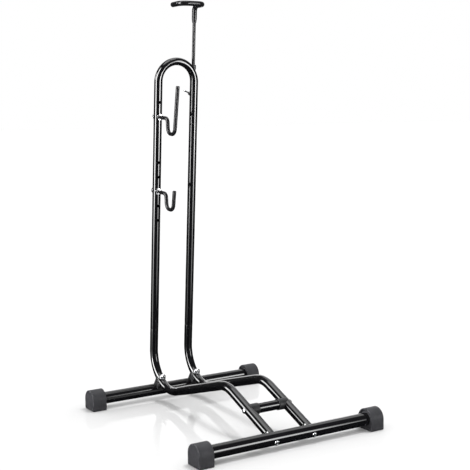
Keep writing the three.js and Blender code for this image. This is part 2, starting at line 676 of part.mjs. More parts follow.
function hookCorners(start, tipRise, extra) {
  const climb = HOOK_DROP + tipRise + extra;
  const heelOfHook = -HOOK_REACH - HOOK_DROP * Math.tan(downSplay);
  const toe = heelOfHook - HOOK_THROAT;
  return [
    yz(start, 0),
    yz(-HOOK_REACH, 0),
    yz(heelOfHook, -HOOK_DROP),
    yz(toe, -HOOK_DROP),
    yz(toe - climb * Math.tan(tipSplay), tipRise + extra),
  ];
}
const hookRadii = [HOOK_SHOULDER_RADIUS, HOOK_BOTTOM_RADIUS, HOOK_BOTTOM_RADIUS];

function addHook(prefix, height, tipRise) {
  const holder = new THREE.Group();
  holder.position.set(leftLegX, 0, height);
  loopPlane.add(holder);
  const rodPath = bentPath(hookCorners(hookThreadEnd, tipRise, -HOOK_TIP_CAP - CLEARANCE), hookRadii, 18);
  const rod = sweptTube(rodPath, () => HOOK_ROD_DIAMETER / 2, null, 8, ACROSS);
  addPiece(holder, `${prefix}_hook_rod`, rod, ZINC);
  const sleevePath = bentPath(hookCorners(-hookSleeveStart, tipRise, 0), hookRadii, 18);
  const skin = sweptTube(sleevePath, () => hookSleeveRadius, null, 10, ACROSS);
  const borePath = bentPath(hookCorners(0, tipRise, -HOOK_TIP_CAP), hookRadii, 18);
  const bore = sweptTube(borePath, () => HOOK_ROD_DIAMETER / 2 + CLEARANCE, null, 8, ACROSS);
  addPiece(holder, `${prefix}_hook_sleeve`, cut(skin, [bore]), MATT_BLACK);
  const nutBore = HOOK_ROD_DIAMETER / 2 + CLEARANCE;
  const hookWasher = tubePiece(WASHER_DIAMETER / 2, nutBore, 0, WASHER_THICKNESS, 12);
  const nutSeat = hookNutGap + WASHER_THICKNESS + CLEARANCE;
  const frontNut = place(plainNut(nutBore), yz(-nutSeat, 0), forward);
  const rearNut = place(capNut(nutBore), yz(nutSeat, 0), backward);
  const frontWasher = place(hookWasher, yz(-hookNutGap, 0), forward);
  const rearWasher = place(hookWasher, yz(hookNutGap, 0), backward);
  addPiece(holder, `${prefix}_hook_front_nut`, frontNut, ZINC);
  addPiece(holder, `${prefix}_hook_cap_nut`, rearNut, MATT_BLACK);
  addPiece(holder, `${prefix}_hook_front_washer`, frontWasher, ZINC);
  addPiece(holder, `${prefix}_hook_rear_washer`, rearWasher, ZINC);
}
addHook('upper', upperHookHeight, LONG_TIP_RISE);
addHook('lower', lowerHookHeight, SHORT_TIP_RISE);

// ---- telescopic rod with the top hook, in the right leg ----
// The rod stands a little off the leg's axis. Its hook lies level though the rod leans, and
// hook and rod meet under the hook's coating.
const rodHolder = new THREE.Group();
rodHolder.position.set(rodX, rodY, 0);
loopPlane.add(rodHolder);
const levelForward = new THREE.Vector3(0, -Math.cos(lean), Math.sin(lean));

function topHookCorners(start, shorten) {
  const shoulder = new THREE.Vector3(0, 0, HEIGHT_ROD_TOP);
  const front = shoulder.clone().addScaledVector(levelForward, TOP_HOOK_REACH);
  const turn = front.clone().addScaledVector(ACROSS, -TOP_HOOK_WIDTH);
  const tip = turn.clone().addScaledVector(levelForward, shorten - TOP_HOOK_TIP);
  return [new THREE.Vector3(0, 0, start), shoulder, front, turn, tip];
}
const topRadii = [TOP_SHOULDER_RADIUS, TOP_CORNER_RADIUS, TOP_CORNER_RADIUS];
const rodEnd = HEIGHT_ROD_TOP - TOP_SHOULDER_RADIUS;
addPiece(rodHolder, 'height_rod', cylinder(heightRodRadius, HEIGHT_ROD_BOTTOM, rodEnd, 20), GLOSS_BLACK);
const hookCorePath = bentPath(topHookCorners(rodEnd + CLEARANCE, TOP_TIP_CAP + CLEARANCE), topRadii, 15);
addPiece(rodHolder, 'top_hook_core', sweptTube(hookCorePath, () => heightRodRadius, null, 10, ACROSS), ZINC);

const sleeveBottom = HEIGHT_ROD_TOP - TOP_SLEEVE_DROP;
const topSleeveRadius = TOP_SLEEVE_DIAMETER / 2;
const sleeveTaper = 5;
const topSleevePath = bentPath(topHookCorners(sleeveBottom, 0), topRadii, 15, [sleeveTaper]);
const topSleeveBody = sweptTube(topSleevePath, stepped([[0, topSleeveRadius - 1.2], [sleeveTaper, topSleeveRadius],
  [9999, topSleeveRadius]]), null, 12, ACROSS);
const topBorePath = bentPath(topHookCorners(sleeveBottom - 5, TOP_TIP_CAP), topRadii, 15);
const topBore = sweptTube(topBorePath, () => heightRodRadius + CLEARANCE, null, 10, ACROSS);
addPiece(rodHolder, 'top_hook_sleeve', cut(topSleeveBody, [topBore]), MATT_BLACK);

// The bush stands in the shoulder's hole, with a collar cut to the round shoulder.
const shoulderTop = LOOP_SPRING_HEIGHT + Math.sqrt((halfSpacing + loopRadius) ** 2 - rodX ** 2);
function bushGeometry() {
  const collar = cylinder(bushRadius + BUSH_COLLAR_WALL, shoulderTop - BUSH_RISE, shoulderTop + BUSH_RISE, 24);
  const clearLoop = sweptTube(loopStations(seamEnd), () => loopRadius + CLEARANCE, null, 16, BEHIND_LOOP, LOOP_BEND_FLATTENING);
  const seated = cut(collar, [clearLoop.translate(-rodX, -rodY, 0)]);
  const pipe = cylinder(bushRadius, shoulderTop - BUSH_RISE * 1.5, shoulderTop + BUSH_RISE, 24);
  return cut(join([seated, pipe]), [cylinder(bushBore, LOOP_SPRING_HEIGHT, shoulderTop + 2 * BUSH_RISE, 20)]);
}
addPiece(rodHolder, 'rod_guide_bush', bushGeometry(), MATT_BLACK);

// The slider keeps the rod's lower end central in the leg and slides with it.
const sliderRadius = loopBore - RUNNING_CLEARANCE;
const sliderFloor = 6;
const sliderBottom = HEIGHT_ROD_BOTTOM - RUNNING_CLEARANCE - sliderFloor;
const sliderBlank = cylinder(sliderRadius, sliderBottom, sliderBottom + PLUG_LENGTH, 24);
const slider = cut(sliderBlank.translate(HEIGHT_ROD_INSET, -HEIGHT_ROD_INSET, 0), [
  cylinder(bushBore, sliderBottom + sliderFloor, sliderBottom + 2 * PLUG_LENGTH, 20),
]);
addPiece(rodHolder, 'rod_slider', slider, MATT_BLACK);

// ---- clamp: a boss welded behind the right leg, and a wing screw that presses on the rod ----
const screwRadius = CLAMP_SCREW_DIAMETER / 2;
const bossEnd = loopRadius + CLAMP_BOSS_HEIGHT;
const clampHolder = new THREE.Group();
clampHolder.position.set(rightLegX, 0, CLAMP_HEIGHT);
loopPlane.add(clampHolder);
const bossBlank = tubePiece(CLAMP_BOSS_DIAMETER / 2, screwRadius + RUNNING_CLEARANCE, 0, bossEnd, 22);
const bossSeat = cylinder(loopRadius + CLEARANCE, -CLAMP_BOSS_DIAMETER, CLAMP_BOSS_DIAMETER, 36);
addPiece(clampHolder, 'clamp_boss', cut(place(bossBlank, new THREE.Vector3(), backward), [bossSeat]), GLOSS_BLACK);

function wingScrewGeometry() {
  const hubRadius = CLAMP_BOSS_DIAMETER / 2 - 1.5;
  const hubHeight = 7;
  const hubStart = bossEnd + 2 * CLEARANCE;
  const tip = rodY + heightRodRadius + RUNNING_CLEARANCE;
  const profile = [[0, tip], [screwRadius - 0.8, tip], [screwRadius, tip + 1], [screwRadius, hubStart]];
  profile.push([hubRadius, hubStart], [hubRadius * 0.8, hubStart + hubHeight], [0, hubStart + hubHeight]);
  const wing = new THREE.Shape();
  const lobeAt = WING_SPAN / 2 - WING_LOBE_RADIUS;
  wing.moveTo(0, 1);
  wing.lineTo(4, 1);
  wing.quadraticCurveTo(lobeAt * 0.8, 3, lobeAt + 2, WING_RISE - 3.5);
  wing.absarc(lobeAt, WING_RISE, WING_LOBE_RADIUS, -1, 2, false);
  wing.quadraticCurveTo(lobeAt * 0.5, WING_RISE - 1, 0, 7);
  const plate = extruded(wing, WING_THICKNESS, 0.5, 3).translate(0, hubStart, -WING_THICKNESS / 2);
  const shank = place(turned(profile, 14), new THREE.Vector3(), backward);
  const level = join([shank, plate, mirrored(plate)]);
  return level.rotateY(THREE.MathUtils.degToRad(WING_REST_ANGLE));
}
addPiece(clampHolder, 'wing_screw', wingScrewGeometry(), ZINC);

// ---- the origin is on the floor, in the middle of the footprint ----
rack.updateMatrixWorld(true);
const extent = new THREE.Box3().setFromObject(rack, true);
rack.position.y = -(extent.min.y + extent.max.y) / 2;
rack.updateMatrixWorld(true);

export default rack;
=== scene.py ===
import json
import math

import bmesh
import bpy
from mathutils import Matrix, Vector


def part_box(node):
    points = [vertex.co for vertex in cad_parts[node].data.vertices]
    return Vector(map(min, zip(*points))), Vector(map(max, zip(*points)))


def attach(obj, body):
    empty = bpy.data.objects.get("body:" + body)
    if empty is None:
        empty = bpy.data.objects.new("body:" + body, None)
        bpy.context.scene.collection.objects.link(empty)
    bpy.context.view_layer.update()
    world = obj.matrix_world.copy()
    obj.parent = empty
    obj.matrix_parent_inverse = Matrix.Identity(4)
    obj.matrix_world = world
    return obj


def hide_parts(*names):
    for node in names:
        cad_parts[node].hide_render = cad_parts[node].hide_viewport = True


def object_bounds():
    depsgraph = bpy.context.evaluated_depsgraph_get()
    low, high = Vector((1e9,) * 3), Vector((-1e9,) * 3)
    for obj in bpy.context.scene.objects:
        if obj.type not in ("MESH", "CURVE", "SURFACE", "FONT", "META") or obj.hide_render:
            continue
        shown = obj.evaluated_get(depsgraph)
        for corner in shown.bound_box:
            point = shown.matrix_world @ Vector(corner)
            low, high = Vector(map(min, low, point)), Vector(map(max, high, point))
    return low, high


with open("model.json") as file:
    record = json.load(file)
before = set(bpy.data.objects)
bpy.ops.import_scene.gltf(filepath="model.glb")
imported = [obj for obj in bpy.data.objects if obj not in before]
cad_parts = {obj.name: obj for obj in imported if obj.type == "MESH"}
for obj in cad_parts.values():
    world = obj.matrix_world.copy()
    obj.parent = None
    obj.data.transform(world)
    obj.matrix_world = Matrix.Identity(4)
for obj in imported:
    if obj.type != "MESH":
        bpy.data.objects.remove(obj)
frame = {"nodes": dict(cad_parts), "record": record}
cad_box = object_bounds()

# ---------------------------------------------------------------- dimensions, in mm
CLEARANCE = 0.3
TRACK = 555
OVERALL_WIDTH = 527.5
CROSS_RADIUS = 16
CROSS_HEIGHT = 26.5

FOOT_LENGTH = 39
FOOT_WIDTH = 53.6
FOOT_END_WALL = 5
FOOT_LIP_DEPTH = 2.5
FOOT_LIP_WALL = 4
FOOT_LIP_EDGE = 0.4
FOOT_LIP_CORNER = 0.8
FOOT_CORNER = 3.2
FOOT_RIM = 1.0
FOOT_EDGE = 2
FOOT_GROOVES = 4
FOOT_GROOVE_WIDTH = 4
FOOT_GROOVE_DEPTH = 2
FOOT_GROOVE_EDGE = 0.6

HALF_SPACING = 54.5
SIDE_RADIUS = 12.25
SIDE_WALL = 1.5
SIDE_SKEW = math.radians(0.6)
HEEL_HEIGHT = 2.3
SIDE_BEND_RADIUS = 94
HUMP_BEND_RADIUS = 90
RAMP = math.radians(16)
DESCENT = math.radians(23.3)
BEND_FLATTENING = 0.05
NECK_RADIUS = 11.2
NECK_TAPER = 70
SHOULDER_EDGE = 0.9
SHOULDER_STEP = 0.1
TUBE_EDGE = 0.6

LEG_SETBACK = 32
LEAN = math.radians(4.8)
SEAM_HEIGHT = 193.7
SPIGOT_LENGTH = 42
LOOP_RADIUS = 11.25
LOOP_BORE = 9.75
LOOP_SPRING_HEIGHT = 870.5
LOOP_BEND_FLATTENING = 0.09
LOOP_EDGE = 0.7
HOLE_HEIGHTS = [500 + 39.2 * i for i in range(5)] + [778, 817.2]
LOWER_HOOK_HEIGHT = HOLE_HEIGHTS[2]
UPPER_HOOK_HEIGHT = HOLE_HEIGHTS[5]

HOOK_ROD_RADIUS = 3.6
HOOK_SLEEVE_RADIUS = 5
HOOK_SLEEVE_EDGES = (0.8, 2.2)
HOOK_REACH = 54
HOOK_DROP = 39
HOOK_THROAT = 35
HOOK_RADII = [12, 16, 16]
HOOK_DOWN_SPLAY = math.radians(6.9)
HOOK_TIP_SPLAY = math.radians(5.4)
LONG_TIP_RISE = 87
SHORT_TIP_RISE = 14

ROD_RADIUS = 4.5
ROD_INSET = 2.2
ROD_TOP = 1071.5
ROD_BOTTOM = 548
TOP_SLEEVE_RADIUS = 6.8
TOP_SLEEVE_MOUTH = 1.2
TOP_SLEEVE_TAPER = 6
TOP_SLEEVE_EDGES = (0.7, 3.4)
TOP_SLEEVE_DROP = 44
TOP_HOOK_REACH = 54
TOP_HOOK_WIDTH = 70
TOP_HOOK_TIP = 50
TOP_RADII = [15, 21, 21]
RUNNING_CLEARANCE = 0.35
BUSH_BORE = ROD_RADIUS + RUNNING_CLEARANCE
BUSH_RADIUS = BUSH_BORE + 1.6
BUSH_COLLAR_WALL = 1
BUSH_COLLAR_EDGE = 1.4
BUSH_RISE = 6

CLAMP_HEIGHT = 839
CLAMP_SCREW_RADIUS = 3
CLAMP_BOSS_RADIUS = 7
CLAMP_BOSS_HEIGHT = 7
CLAMP_BOSS_EDGE = 0.8
WING_SPAN = 31
WING_THICKNESS = 2.6
WING_EDGE = 0.7
WING_RISE = 11
WING_LOBE_RADIUS = 4.2
WING_ROOT = (4, 1)
WING_SADDLE_RISE = 7
WING_HUB_RADIUS = 5.5
WING_HUB_HEIGHT = 7
WING_REST_ANGLE = math.radians(30)

STOP_BAR_SETBACK = 103
STOP_BAR_RADIUS = 12
STOP_SADDLE_LENGTH = 8
STOP_SADDLE_WALL = 1.6
STOP_SADDLE_EDGE = 0.7
STOP_SADDLE_OVERLAP = 6

REAR_SADDLE_WIDTH = 24
REAR_SADDLE_LENGTH = 26
REAR_SADDLE_EDGE = 1.2
BOLT_RADIUS = 4
BOLT_HOLE = 4.4
BOLT_HEAD_RADIUS = 7
BOLT_HEAD_HEIGHT = 3.6
BOLT_HEAD_FLAT = 0.25
BOLT_HEAD_RIM = 0.15
BOLT_HEAD_CHAMFER = 0.2
BOLT_TIP = 1
THREAD_GRIP = 22
WASHER_RADIUS = 8.5
WASHER_THICKNESS = 1.4
WASHER_EDGE = 0.25
NUT_ACROSS_FLATS = 13
NUT_HEIGHT = 5.6
NUT_TURNED_FACE = 0.96
NUT_TURNED_DROP = 0.55
CAP_NUT_DOME = 4.4
CAP_NUT_STEP = 0.6
SOCKET_WIDTH = 5
SOCKET_DEPTH = 2.4

# The CAD bends are faceted every so many degrees, and the washers stay clear of the facets.
SIDE_BEND_STEP = 10.5

# How far cutting shapes run past what they cut.
LONG_CUT = 80
SHORT_CUT = 30
HAIR = 0.01

# Flat faces round a circle.
CROSS_SIDES = 96
TUBE_SIDES = 72
ROUND_SIDES = 64
HOOK_SIDES = 56
SMALL_SIDES = 48
HOLE_SIDES = 40
NUT_BORE_SIDES = 32

# ---------------------------------------------------------------- places
X = Vector((1, 0, 0))
Y = Vector((0, 1, 0))
Z = Vector((0, 0, 1))
MIRROR = Matrix.Scale(-1, 4, X)
HALF_TRACK = TRACK / 2
LEG_FOOT_Y = HALF_TRACK + LEG_SETBACK
FOOT_OUTER = OVERALL_WIDTH / 2

# The frame's origin is not midway between the cross tubes, where these dimensions have theirs.
foot_low, foot_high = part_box("foot_rear_left")
shift = (foot_low.y + foot_high.y) / 2 - HALF_TRACK / 1000
TO_METRES = Matrix.Translation((0, shift, 0)) @ Matrix.Scale(0.001, 4)

LOOP = Matrix.Translation((0, LEG_FOOT_Y, 0)) @ Matrix.Rotation(LEAN, 4, "X")
ROD = LOOP @ Matrix.Translation((HALF_SPACING - ROD_INSET, ROD_INSET, 0))
CLAMP = LOOP @ Matrix.Translation((HALF_SPACING, 0, CLAMP_HEIGHT))


def side_plane(side):
    """From the middle plane to a side tube's, turned slightly about the rear cross tube's middle."""
    turn = Matrix.Rotation(SIDE_SKEW, 4, "Z")
    out = Matrix.Translation((side * HALF_SPACING, HALF_TRACK, 0))
    return out @ turn @ Matrix.Translation((0, -HALF_TRACK, 0))


def skew_shift(y):
    """How far the side tubes' turn carries them sideways at y."""
    return (HALF_TRACK - y) * math.sin(SIDE_SKEW)


def placed(origin, axis):
    """Lays +Z along axis at origin."""
    turn = Z.rotation_difference(Vector(axis).normalized())
    return Matrix.Translation(origin) @ turn.to_matrix().to_4x4()


def yz(y, z):
    return Vector((0, y, z))


# ---------------------------------------------------------------- meshes
END_RING_SHARE = 0.02


def smooth(t):
    """0 to 1 with a soft start and end."""
    t = max(0.0, min(1.0, t))
    return t * t * (3 - 2 * t)


def angles(start, sweep, steps):
    """Evenly spaced angles, both ends included."""
    return [start + sweep * k / steps for k in range(steps + 1)]


def mesh_of(verts, faces):
    """A mesh with its faces turned outwards."""
    mesh = bpy.data.meshes.new("part")
    mesh.from_pydata([tuple(v) for v in verts], [], faces)
    work = bmesh.new()
    work.from_mesh(mesh)
    bmesh.ops.recalc_face_normals(work, faces=work.faces)
    work.to_mesh(mesh)
    work.free()
    return mesh


def moved(mesh, matrix):
    copy = mesh.copy()
    copy.transform(matrix)
    if matrix.determinant() < 0:
        copy.flip_normals()
    return copy


def together(*meshes):
    work = bmesh.new()
    for mesh in meshes:
        work.from_mesh(mesh)
    result = bpy.data.meshes.new("part")
    work.to_mesh(result)
    work.free()
    return result


def combined(mesh, others, operation="DIFFERENCE"):
    """The mesh after an exact boolean with each of the others in turn."""
    for other in others:
        body = bpy.data.objects.new("body", mesh)
        tool = bpy.data.objects.new("tool", other)
        for item in (body, tool):
            bpy.context.scene.collection.objects.link(item)
        step = body.modifiers.new("step", "BOOLEAN")
        step.operation = operation
        step.solver = "EXACT"
        step.object = tool
        bpy.context.view_layer.update()
        result = body.evaluated_get(bpy.context.evaluated_depsgraph_get())
        mesh = bpy.data.meshes.new_from_object(result)
        for item in (body, tool):
            bpy.data.objects.remove(item)
    return mesh


def loft(rings, closed=False):
    """Joins rings of points. A ring of one point closes an end; closed joins the last ring to the first."""
    verts = []
    starts = []
    for ring in rings:
        starts.append(len(verts))
        verts.extend(ring)
    faces = []
    pairs = list(zip(range(len(rings)), range(1, len(rings))))
    if closed:
        pairs.append((len(rings) - 1, 0))
    for i, j in pairs:
        a, b = starts[i], starts[j]
        count = max(len(rings[i]), len(rings[j]))
        for k in range(count):
            n = (k + 1) % count
            if len(rings[i]) == 1:
                faces.append((a, b + k, b + n))
            elif len(rings[j]) == 1:
                faces.append((a + k, a + n, b))
            else:
                faces.append((a + k, a + n, b + n, b + k))
    return mesh_of(verts, faces)


def lathe(profile, sides=ROUND_SIDES):
    """Profile points are (radius, height); a radius of 0 closes the end."""
    rings = []
    for radius, height in profile:
        if radius == 0:
            rings.append([Vector((0, 0, height))])
        else:
            turns = angles(0, 2 * math.pi, sides)[:-1]
            rings.append([Vector((radius * math.cos(t), radius * math.sin(t), height)) for t in turns])
    return loft(rings, closed=profile[0][0] != 0)


def rod_shape(radius, bottom, top, edge=0.0, sides=ROUND_SIDES, steps=5):
    """A round bar. With an edge it also has a ring near each end, which keeps its shading straight."""
    if edge == 0:
        return lathe([(0, bottom), (radius, bottom), (radius, top), (0, top)], sides)
    inset = edge + END_RING_SHARE * (top - bottom)
    rounding = [(radius - edge * (1 - math.sin(t)), edge * (1 - math.cos(t)))
                for t in angles(0, math.pi / 2, steps)]
    profile = [(0, bottom)] + [(r, bottom + rise) for r, rise in rounding]
    profile += [(radius, bottom + inset), (radius, top - inset)]
    profile += [(r, top - rise) for r, rise in reversed(rounding)]
    return lathe(profile + [(0, top)], sides)


def ring_shape(outer, inner, bottom, top, edge=0.3, sides=ROUND_SIDES):
    """A ring with its outer edges rounded and its bore's edges broken."""
    e = edge
    profile = [(inner, bottom + e), (inner + e, bottom), (outer - e, bottom)]
    profile += [(outer - e * 0.3, bottom + e * 0.3), (outer, bottom + e), (outer, top - e)]
    profile += [(outer - e * 0.3, top - e * 0.3), (outer - e, top), (inner + e, top), (inner, top - e)]
    return lathe(profile, sides)


def box_shape(size, centre, edge, steps=4):
    work = bmesh.new()
    bmesh.ops.create_cube(work, size=1)
    for vert in work.verts:
        vert.co = Vector([c * s for c, s in zip(vert.co, size)]) + Vector(centre)
    bmesh.ops.bevel(work, geom=list(work.edges), offset=edge, segments=steps, profile=0.5, affect="EDGES")
    mesh = bpy.data.meshes.new("part")
    work.to_mesh(mesh)
    work.free()
    return mesh


# ---------------------------------------------------------------- swept tubes
NEAREST_STATIONS = 0.02
SAME_RING = 1e-4
NO_RADIUS = 1e-3


class Path:
    """A line of straight runs and round bends. Each station holds a point, a tangent and its share of bend."""

    def __init__(self, across):
        self.across = Vector(across)
        self.stations = []

    def add(self, point, tangent, share):
        if self.stations and (point - self.stations[-1][0]).length < NEAREST_STATIONS:
            return
        self.stations.append((point.copy(), tangent.normalized(), share))

    def finish(self):
        self.lengths = [0.0]
        for before, after in zip(self.stations, self.stations[1:]):
            self.lengths.append(self.lengths[-1] + (after[0] - before[0]).length)
        side = self.across
        self.sides = []
        for _, tangent, _ in self.stations:
            side = (side - tangent * side.dot(tangent)).normalized()
            self.sides.append(side)
        self.length = self.lengths[-1]
        return self

    def ring(self, s, radius, count, flattening):
        """A ring of points at distance s, oval where the line bends; radius 0 gives the one point there."""
        i = 0
        while i < len(self.lengths) - 2 and s > self.lengths[i + 1]:
            i += 1
        span = self.lengths[i + 1] - self.lengths[i]
        t = (s - self.lengths[i]) / span
        p0, t0, b0 = self.stations[i]
        p1, t1, b1 = self.stations[i + 1]
        point = p0.lerp(p1, t)
        tangent = t0.lerp(t1, max(0, min(1, t))).normalized()
        share = b0 + (b1 - b0) * max(0, min(1, t))
        if radius == 0:
            return [point]
        side = self.sides[i]
        side = (side - tangent * side.dot(tangent)).normalized()
        up = tangent.cross(side)
        wide = radius * (1 + flattening / 2 * share)
        flat = radius * (1 - flattening * share)
        turns = angles(0, 2 * math.pi, count)[:-1]
        return [point + side * (wide * math.cos(a)) + up * (flat * math.sin(a)) for a in turns]

    def run(self, radius_at, start, end, edges, spacing=12):
        """(distance, radius) pairs from start to end, with rounded edges at both ends."""
        first, last = edges
        quarter = angles(0, math.pi / 2, 6)
        pairs = [(start + first * (1 - math.cos(t)), radius_at(start) - first * (1 - math.sin(t)))
                 for t in quarter]
        low, high = start + first, end - last
        stops = sorted([s for s in self.lengths if low < s < high] + [low, high])
        for a, b in zip(stops, stops[1:]):
            pieces = max(1, math.ceil((b - a) / spacing))
            places = [a + (b - a) * k / pieces for k in range(pieces)]
            pairs.extend((s, radius_at(s)) for s in places)
        pairs += [(end - last * (1 - math.cos(t)), radius_at(end) - last * (1 - math.sin(t)))
                  for t in reversed(quarter)]
        clean = [pairs[0]]
        for pair in pairs[1:]:
            if max(abs(pair[0] - clean[-1][0]), abs(pair[1] - clean[-1][1])) > SAME_RING:
                clean.append(pair)
        return clean


def bent_path(corners, radii, across=X, step=2.5, ease=5):
    """Straight runs between the corners with a round bend at each inner one, in steps of a few degrees."""
    path = Path(across)
    corners = [Vector(c) for c in corners]
    path.add(corners[0], corners[1] - corners[0], 0)
    for i, radius in enumerate(radii):
        before = (corners[i + 1] - corners[i]).normalized()
        after = (corners[i + 2] - corners[i + 1]).normalized()
        angle = before.angle(after)
        start = corners[i + 1] - before * (radius * math.tan(angle / 2))
        inward = (after - before * after.dot(before)).normalized()
        steps = max(6, math.ceil(math.degrees(angle) / step))
        for k, t in enumerate(angles(0, angle, steps)):
            share = smooth(min(k, steps - k) / steps * ease)
            point = start + before * (radius * math.sin(t)) + inward * (radius * (1 - math.cos(t)))
            path.add(point, before * math.cos(t) + inward * math.sin(t), share)
    path.add(corners[-1], corners[-1] - corners[-2], 0)
    return path.finish()


def solid_sweep(path, radius_at, start, end, edges=(0.3, 0.3), sides=SMALL_SIDES, flattening=0.0):
    pairs = path.run(radius_at, start, end, edges)
    rings = [path.ring(start, 0, sides, 0)]
    rings += [path.ring(s, r, sides, flattening) for s, r in pairs if r > NO_RADIUS]
    rings.append(path.ring(end, 0, sides, 0))
    return loft(rings)


def hollow_sweep(path, radius_at, bore_at, start, end, edge=0.4, sides=SMALL_SIDES, flattening=0.0):
    outer = path.run(radius_at, start, end, (edge, edge))
    inner = path.run(bore_at, start, end, (0, 0))
    rings = [path.ring(s, r, sides, flattening) for s, r in outer + inner[::-1]]
    return loft(rings, closed=True)


# ---------------------------------------------------------------- node helpers
def noise(tree, scale, stretch=(1, 1, 1), detail=3.0, rough=0.5):
    coords = tree.nodes.new("ShaderNodeTexCoord")
    mapping = tree.nodes.new("ShaderNodeMapping")
    mapping.inputs["Scale"].default_value = stretch
    texture = tree.nodes.new("ShaderNodeTexNoise")
    texture.inputs["Scale"].default_value = scale
    texture.inputs["Detail"].default_value = detail
    texture.inputs["Roughness"].default_value = rough
    tree.links.new(coords.outputs["Object"], mapping.inputs["Vector"])
    tree.links.new(mapping.outputs["Vector"], texture.inputs["Vector"])
    return texture.outputs["Fac"]


def ramp(tree, value, low, high, out_low, out_high):
    """out_low below low, out_high above high, and a soft change between them."""
    node = tree.nodes.new("ShaderNodeMapRange")
    node.interpolation_type = "SMOOTHSTEP"
    for name, number in (("From Min", low), ("From Max", high), ("To Min", out_low), ("To Max", out_high)):
        node.inputs[name].default_value = number
    tree.links.new(value, node.inputs["Value"])
    return node.outputs["Result"]


def calculate(tree, operation, a, b=None):
    node = tree.nodes.new("ShaderNodeMath")
    node.operation = operation
    for socket, value in zip(node.inputs, (a, b)):
        if isinstance(value, (int, float)):
            socket.default_value = value
        elif value is not None:
            tree.links.new(value, socket)
    return node.outputs[0]


def band(tree, value, low, high, soft):
    """1 between low and high, falling to 0 over soft."""
    rise = ramp(tree, value, low - soft, low, 0, 1)
    fall = ramp(tree, value, high, high + soft, 1, 0)
    return calculate(tree, "MULTIPLY", rise, fall)


def blend_colour(tree, factor, first, second):
    node = tree.nodes.new("ShaderNodeMix")
    node.data_type = "RGBA"
    tree.links.new(factor, node.inputs["Factor"])
    for socket, value in ((node.inputs[6], first), (node.inputs[7], second)):
        if isinstance(value, tuple):
            socket.default_value = (*value, 1)
        else:
            tree.links.new(value, socket)
    return node.outputs[2]


def blend_shaders(tree, factor, first, second):
    node = tree.nodes.new("ShaderNodeMixShader")
    for socket, value in zip(node.inputs, (factor, first, second)):
        tree.links.new(value, socket)
    return node.outputs[0]


def bump(tree, height, distance, strength=1.0, under=None):
    node = tree.nodes.new("ShaderNodeBump")
    node.inputs["Strength"].default_value = strength
    node.inputs["Distance"].default_value = distance
    tree.links.new(height, node.inputs["Height"])
    if under is not None:
        tree.links.new(under, node.inputs["Normal"])
    return node.outputs["Normal"]


# ---------------------------------------------------------------- materials
GRAIN_LIGHTER = 1.25
DUST_SCALE = 2600
DUST_LIGHTER = 3
PATCH_SCALE = 2.7
SWELL_SCALE = 0.22
SWELL_DEPTH = 2.2


def finish_of(name, dark, light, roughness, metallic=0.0, specular=0.5, coat=0.0, coat_roughness=0.1,
              grain=900, stretch=(1, 1, 1), depth=0.00002, mottle=60, specks=0.0):
    """A finish with a fine grain in its relief, broad patches in its colour and gloss, and fine specks."""
    material = bpy.data.materials.new(name)
    material.use_nodes = True
    tree = material.node_tree
    shader = tree.nodes["Principled BSDF"]
    shader.inputs["Metallic"].default_value = metallic
    shader.inputs["Specular IOR Level"].default_value = specular
    shader.inputs["Coat Weight"].default_value = coat
    shader.inputs["Coat Roughness"].default_value = coat_roughness
    fine = noise(tree, grain, stretch, detail=4.0, rough=0.6)
    broad = noise(tree, mottle, detail=5.0, rough=0.55)
    tone = blend_colour(tree, ramp(tree, broad, 0.35, 0.65, 0, 1), dark, light)
    lighter = tuple(c * GRAIN_LIGHTER for c in light)
    tone = blend_colour(tree, ramp(tree, fine, 0.3, 0.75, 0, 0.5), tone, lighter)
    if specks > 0:
        dust = noise(tree, DUST_SCALE, detail=1.0, rough=0.5)
        lightest = tuple(c * DUST_LIGHTER for c in light)
        tone = blend_colour(tree, ramp(tree, dust, 0.72, 0.8, 0, specks), tone, lightest)
    tree.links.new(tone, shader.inputs["Base Color"])
    patches = noise(tree, mottle * PATCH_SCALE, detail=4.0, rough=0.6)
    tree.links.new(ramp(tree, patches, 0.3, 0.7, *roughness), shader.inputs["Roughness"])
    waves = noise(tree, grain * SWELL_SCALE, detail=2.0, rough=0.5)
    swell = bump(tree, waves, depth * SWELL_DEPTH, 0.5)
    tree.links.new(bump(tree, fine, depth, 1.0, swell), shader.inputs["Normal"])
    return material


SLOTS = {
    "tube_black": finish_of("gloss_powder_coat", (0.005, 0.005, 0.0057), (0.0065, 0.0065, 0.0075), (0.06, 0.07),
                            coat=0.35, coat_roughness=0.03, depth=0.0000005, specks=0.2),
    "rod_black": finish_of("rod_powder_coat", (0.008, 0.008, 0.009), (0.0095, 0.0095, 0.0105), (0.16, 0.18),
                           specular=0.35, depth=0.000002, specks=0.1),
    "feet": finish_of("foot_plastic", (0.036, 0.036, 0.04), (0.047, 0.047, 0.052), (0.5, 0.6),
                      specular=0.32, grain=800, stretch=(1, 1, 0.05), depth=0.00003, mottle=45),
    "moulded_black": finish_of("moulded_plastic", (0.015, 0.015, 0.016), (0.024, 0.024, 0.026), (0.38, 0.52),
                               grain=1500, depth=0.000006),
    "hook_sleeves": finish_of("soft_hook_coat", (0.01, 0.01, 0.011), (0.0125, 0.0125, 0.014), (0.2, 0.225),
                              specular=0.3, grain=1100, depth=0.000005, specks=0.1),
    "cap_nut_black": finish_of("cap_nut_plastic", (0.012, 0.012, 0.013), (0.02, 0.02, 0.022), (0.3, 0.42),
                               grain=1800, depth=0.000004),
    "zinc": finish_of("bright_zinc", (0.66, 0.67, 0.69), (0.8, 0.8, 0.81), (0.14, 0.32), metallic=1.0,
                      grain=2600, depth=0.000002, mottle=300),
}


